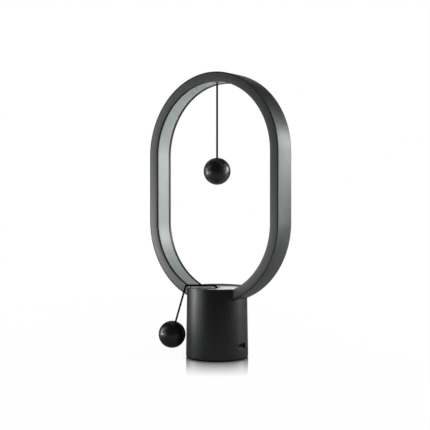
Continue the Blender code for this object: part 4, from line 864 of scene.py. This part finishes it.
def make_world():
    """White where the camera looks, and a dim studio with a white back wall for the rest.

    The wall is a sector about the camera's heading. It fades above, and on the left it
    starts a little above the floor.
    """
    world = bpy.data.worlds.new("studio")
    bpy.context.scene.world = world
    world.use_nodes = True
    world.node_tree.nodes.clear()
    nodes = Nodes(world.node_tree)
    rays = nodes.node("ShaderNodeLightPath").outputs
    way = nodes.result("ShaderNodeTexCoord", "Generated")
    rise = nodes.result("ShaderNodeSeparateXYZ", "Z", Vector=way)
    high = nodes.ramp(rise, rise_at(WALL_DIM_END), rise_at(WALL_DIM_START), WALL_DIMMED, 1,
                      "SMOOTHSTEP")
    # Low down, the wall is there only on the right of an edge
    right = nodes.sector(way, LOW_EDGE_AZIMUTH - 90, 90 - LOW_EDGE_FADE, 90 + LOW_EDGE_FADE)
    above = nodes.ramp(rise, rise_at(LOW_EDGE_RISE), rise_at(LOW_EDGE_RISE + LOW_EDGE_RISE_FADE),
                       0, 1, "SMOOTHSTEP")
    there = nodes.calc("MAXIMUM", right, above)
    wall = nodes.calc("MULTIPLY", nodes.calc("MULTIPLY", nodes.wall_side(way), high), there)
    seen = nodes.calc("MULTIPLY_ADD", nodes.mirror_rays(rays), wall, rays["Is Camera Ray"],
                      clamp=True)
    white = nodes.result("ShaderNodeBackground", Color=WHITE, Strength=1.0)
    dim = nodes.result("ShaderNodeBackground", Color=WHITE, Strength=AMBIENT)
    nodes.node("ShaderNodeOutputWorld", Surface=nodes.shaders(seen, dim, white))


def floor_look():
    """White with a contact shadow to the camera, and paint to most of the other rays.

    Mirror rays see it white far behind the lamp, and diffuse rays a share of it. Near the
    base it mirrors for the camera: the share falls from MIRROR at the base's edge to nothing
    at MIRROR_REACH from the axis.
    """
    look = bpy.data.materials.new("pale floor")
    look.use_nodes = True
    look.node_tree.nodes.clear()
    nodes = Nodes(look.node_tree)
    rays = nodes.node("ShaderNodeLightPath").outputs
    camera = rays["Is Camera Ray"]
    place = nodes.result("ShaderNodeTexCoord", "Object")
    reach = nodes.vector("LENGTH", place)

    far = nodes.ramp(reach, *FAR_FLOOR, 0, 1, "SMOOTHSTEP")
    behind = nodes.calc("MULTIPLY", nodes.wall_side(place), far)
    mirrored = nodes.calc("MULTIPLY", nodes.mirror_rays(rays), behind)
    white = nodes.calc("MAXIMUM", camera, mirrored)
    bounce = nodes.calc("MULTIPLY", rays["Is Diffuse Ray"], FLOOR_BOUNCE)
    seen = nodes.calc("MULTIPLY", nodes.calc("MAXIMUM", white, bounce), FLOOR_GLOW)
    contact = nodes.result("ShaderNodeAmbientOcclusion", "Color", Distance=CONTACT_REACH,
                           samples=CONTACT_SAMPLES)
    level = nodes.ramp(reach, GLOW_START, FLOOR_RADIUS, GLOW_NEAR, GLOW_FAR)
    glow = nodes.result("ShaderNodeEmission", Color=contact, Strength=level)
    paint = nodes.result("ShaderNodeBsdfDiffuse", Color=FLOOR_PAINT)
    lit = nodes.shaders(seen, paint, glow)

    near = nodes.ramp(reach, shell_high.x, MIRROR_REACH, 1, 0)
    fade = nodes.calc("POWER", near, MIRROR_FADE)
    share = nodes.calc("MULTIPLY", nodes.calc("MULTIPLY", fade, MIRROR), camera)
    gloss = nodes.result("ShaderNodeBsdfGlossy", Color=WHITE, Roughness=MIRROR_ROUGHNESS)
    nodes.node("ShaderNodeOutputMaterial", Surface=nodes.shaders(share, lit, gloss))
    return look


def make_floor():
    """A flat disc of rings about the axis."""
    angles = np.linspace(0, math.tau, FLOOR_SPOKES, endpoint=False)
    radii = np.array(FLOOR_RINGS)[:, None]
    points = np.stack([radii * np.cos(angles), radii * np.sin(angles),
                       FLOOR_Z + 0 * radii * angles], axis=-1)
    faces = grid_faces(len(radii), FLOOR_SPOKES, close_rows=False)
    faces.append(list(range(FLOOR_SPOKES - 1, -1, -1)))
    floor = placed("floor", points, faces)
    floor.data.materials.append(floor_look())


def make_camera():
    """The photograph's camera: level on its heading, then pitched, and moved to the side."""
    azimuth, pitch = math.radians(CAMERA_AZIMUTH), math.radians(CAMERA_PITCH)
    level = Vector((-math.sin(azimuth), math.cos(azimuth), 0))
    right = level.cross(Vector((0, 0, 1)))
    ahead = level * math.cos(pitch) + Vector((0, 0, math.sin(pitch)))
    place = right * CAMERA_SIDESTEP - level * CAMERA_DISTANCE + Vector((0, 0, CAMERA_HEIGHT))
    data = bpy.data.cameras.new("photo camera")
    data.lens = LENS_MM
    data.sensor_width = SENSOR_MM
    data.sensor_fit = "HORIZONTAL"
    camera = bpy.data.objects.new("photo camera", data)
    bpy.context.scene.collection.objects.link(camera)
    turn = ahead.to_track_quat("-Z", "Y").to_matrix().to_4x4()
    camera.matrix_world = Matrix.Translation(place) @ turn
    bpy.context.scene.camera = camera


def build():
    """The camera, every piece of the lamp, and the studio round it."""
    bpy.context.scene.view_settings.view_transform = "Standard"
    looks = make_looks()
    make_camera()
    make_cords(looks)
    make_ring(looks)
    make_balls(looks)
    make_base(looks)
    make_foot(looks)
    make_spring(looks)
    paint_solids(looks)
    make_light()
    make_world()
    make_floor()


build()
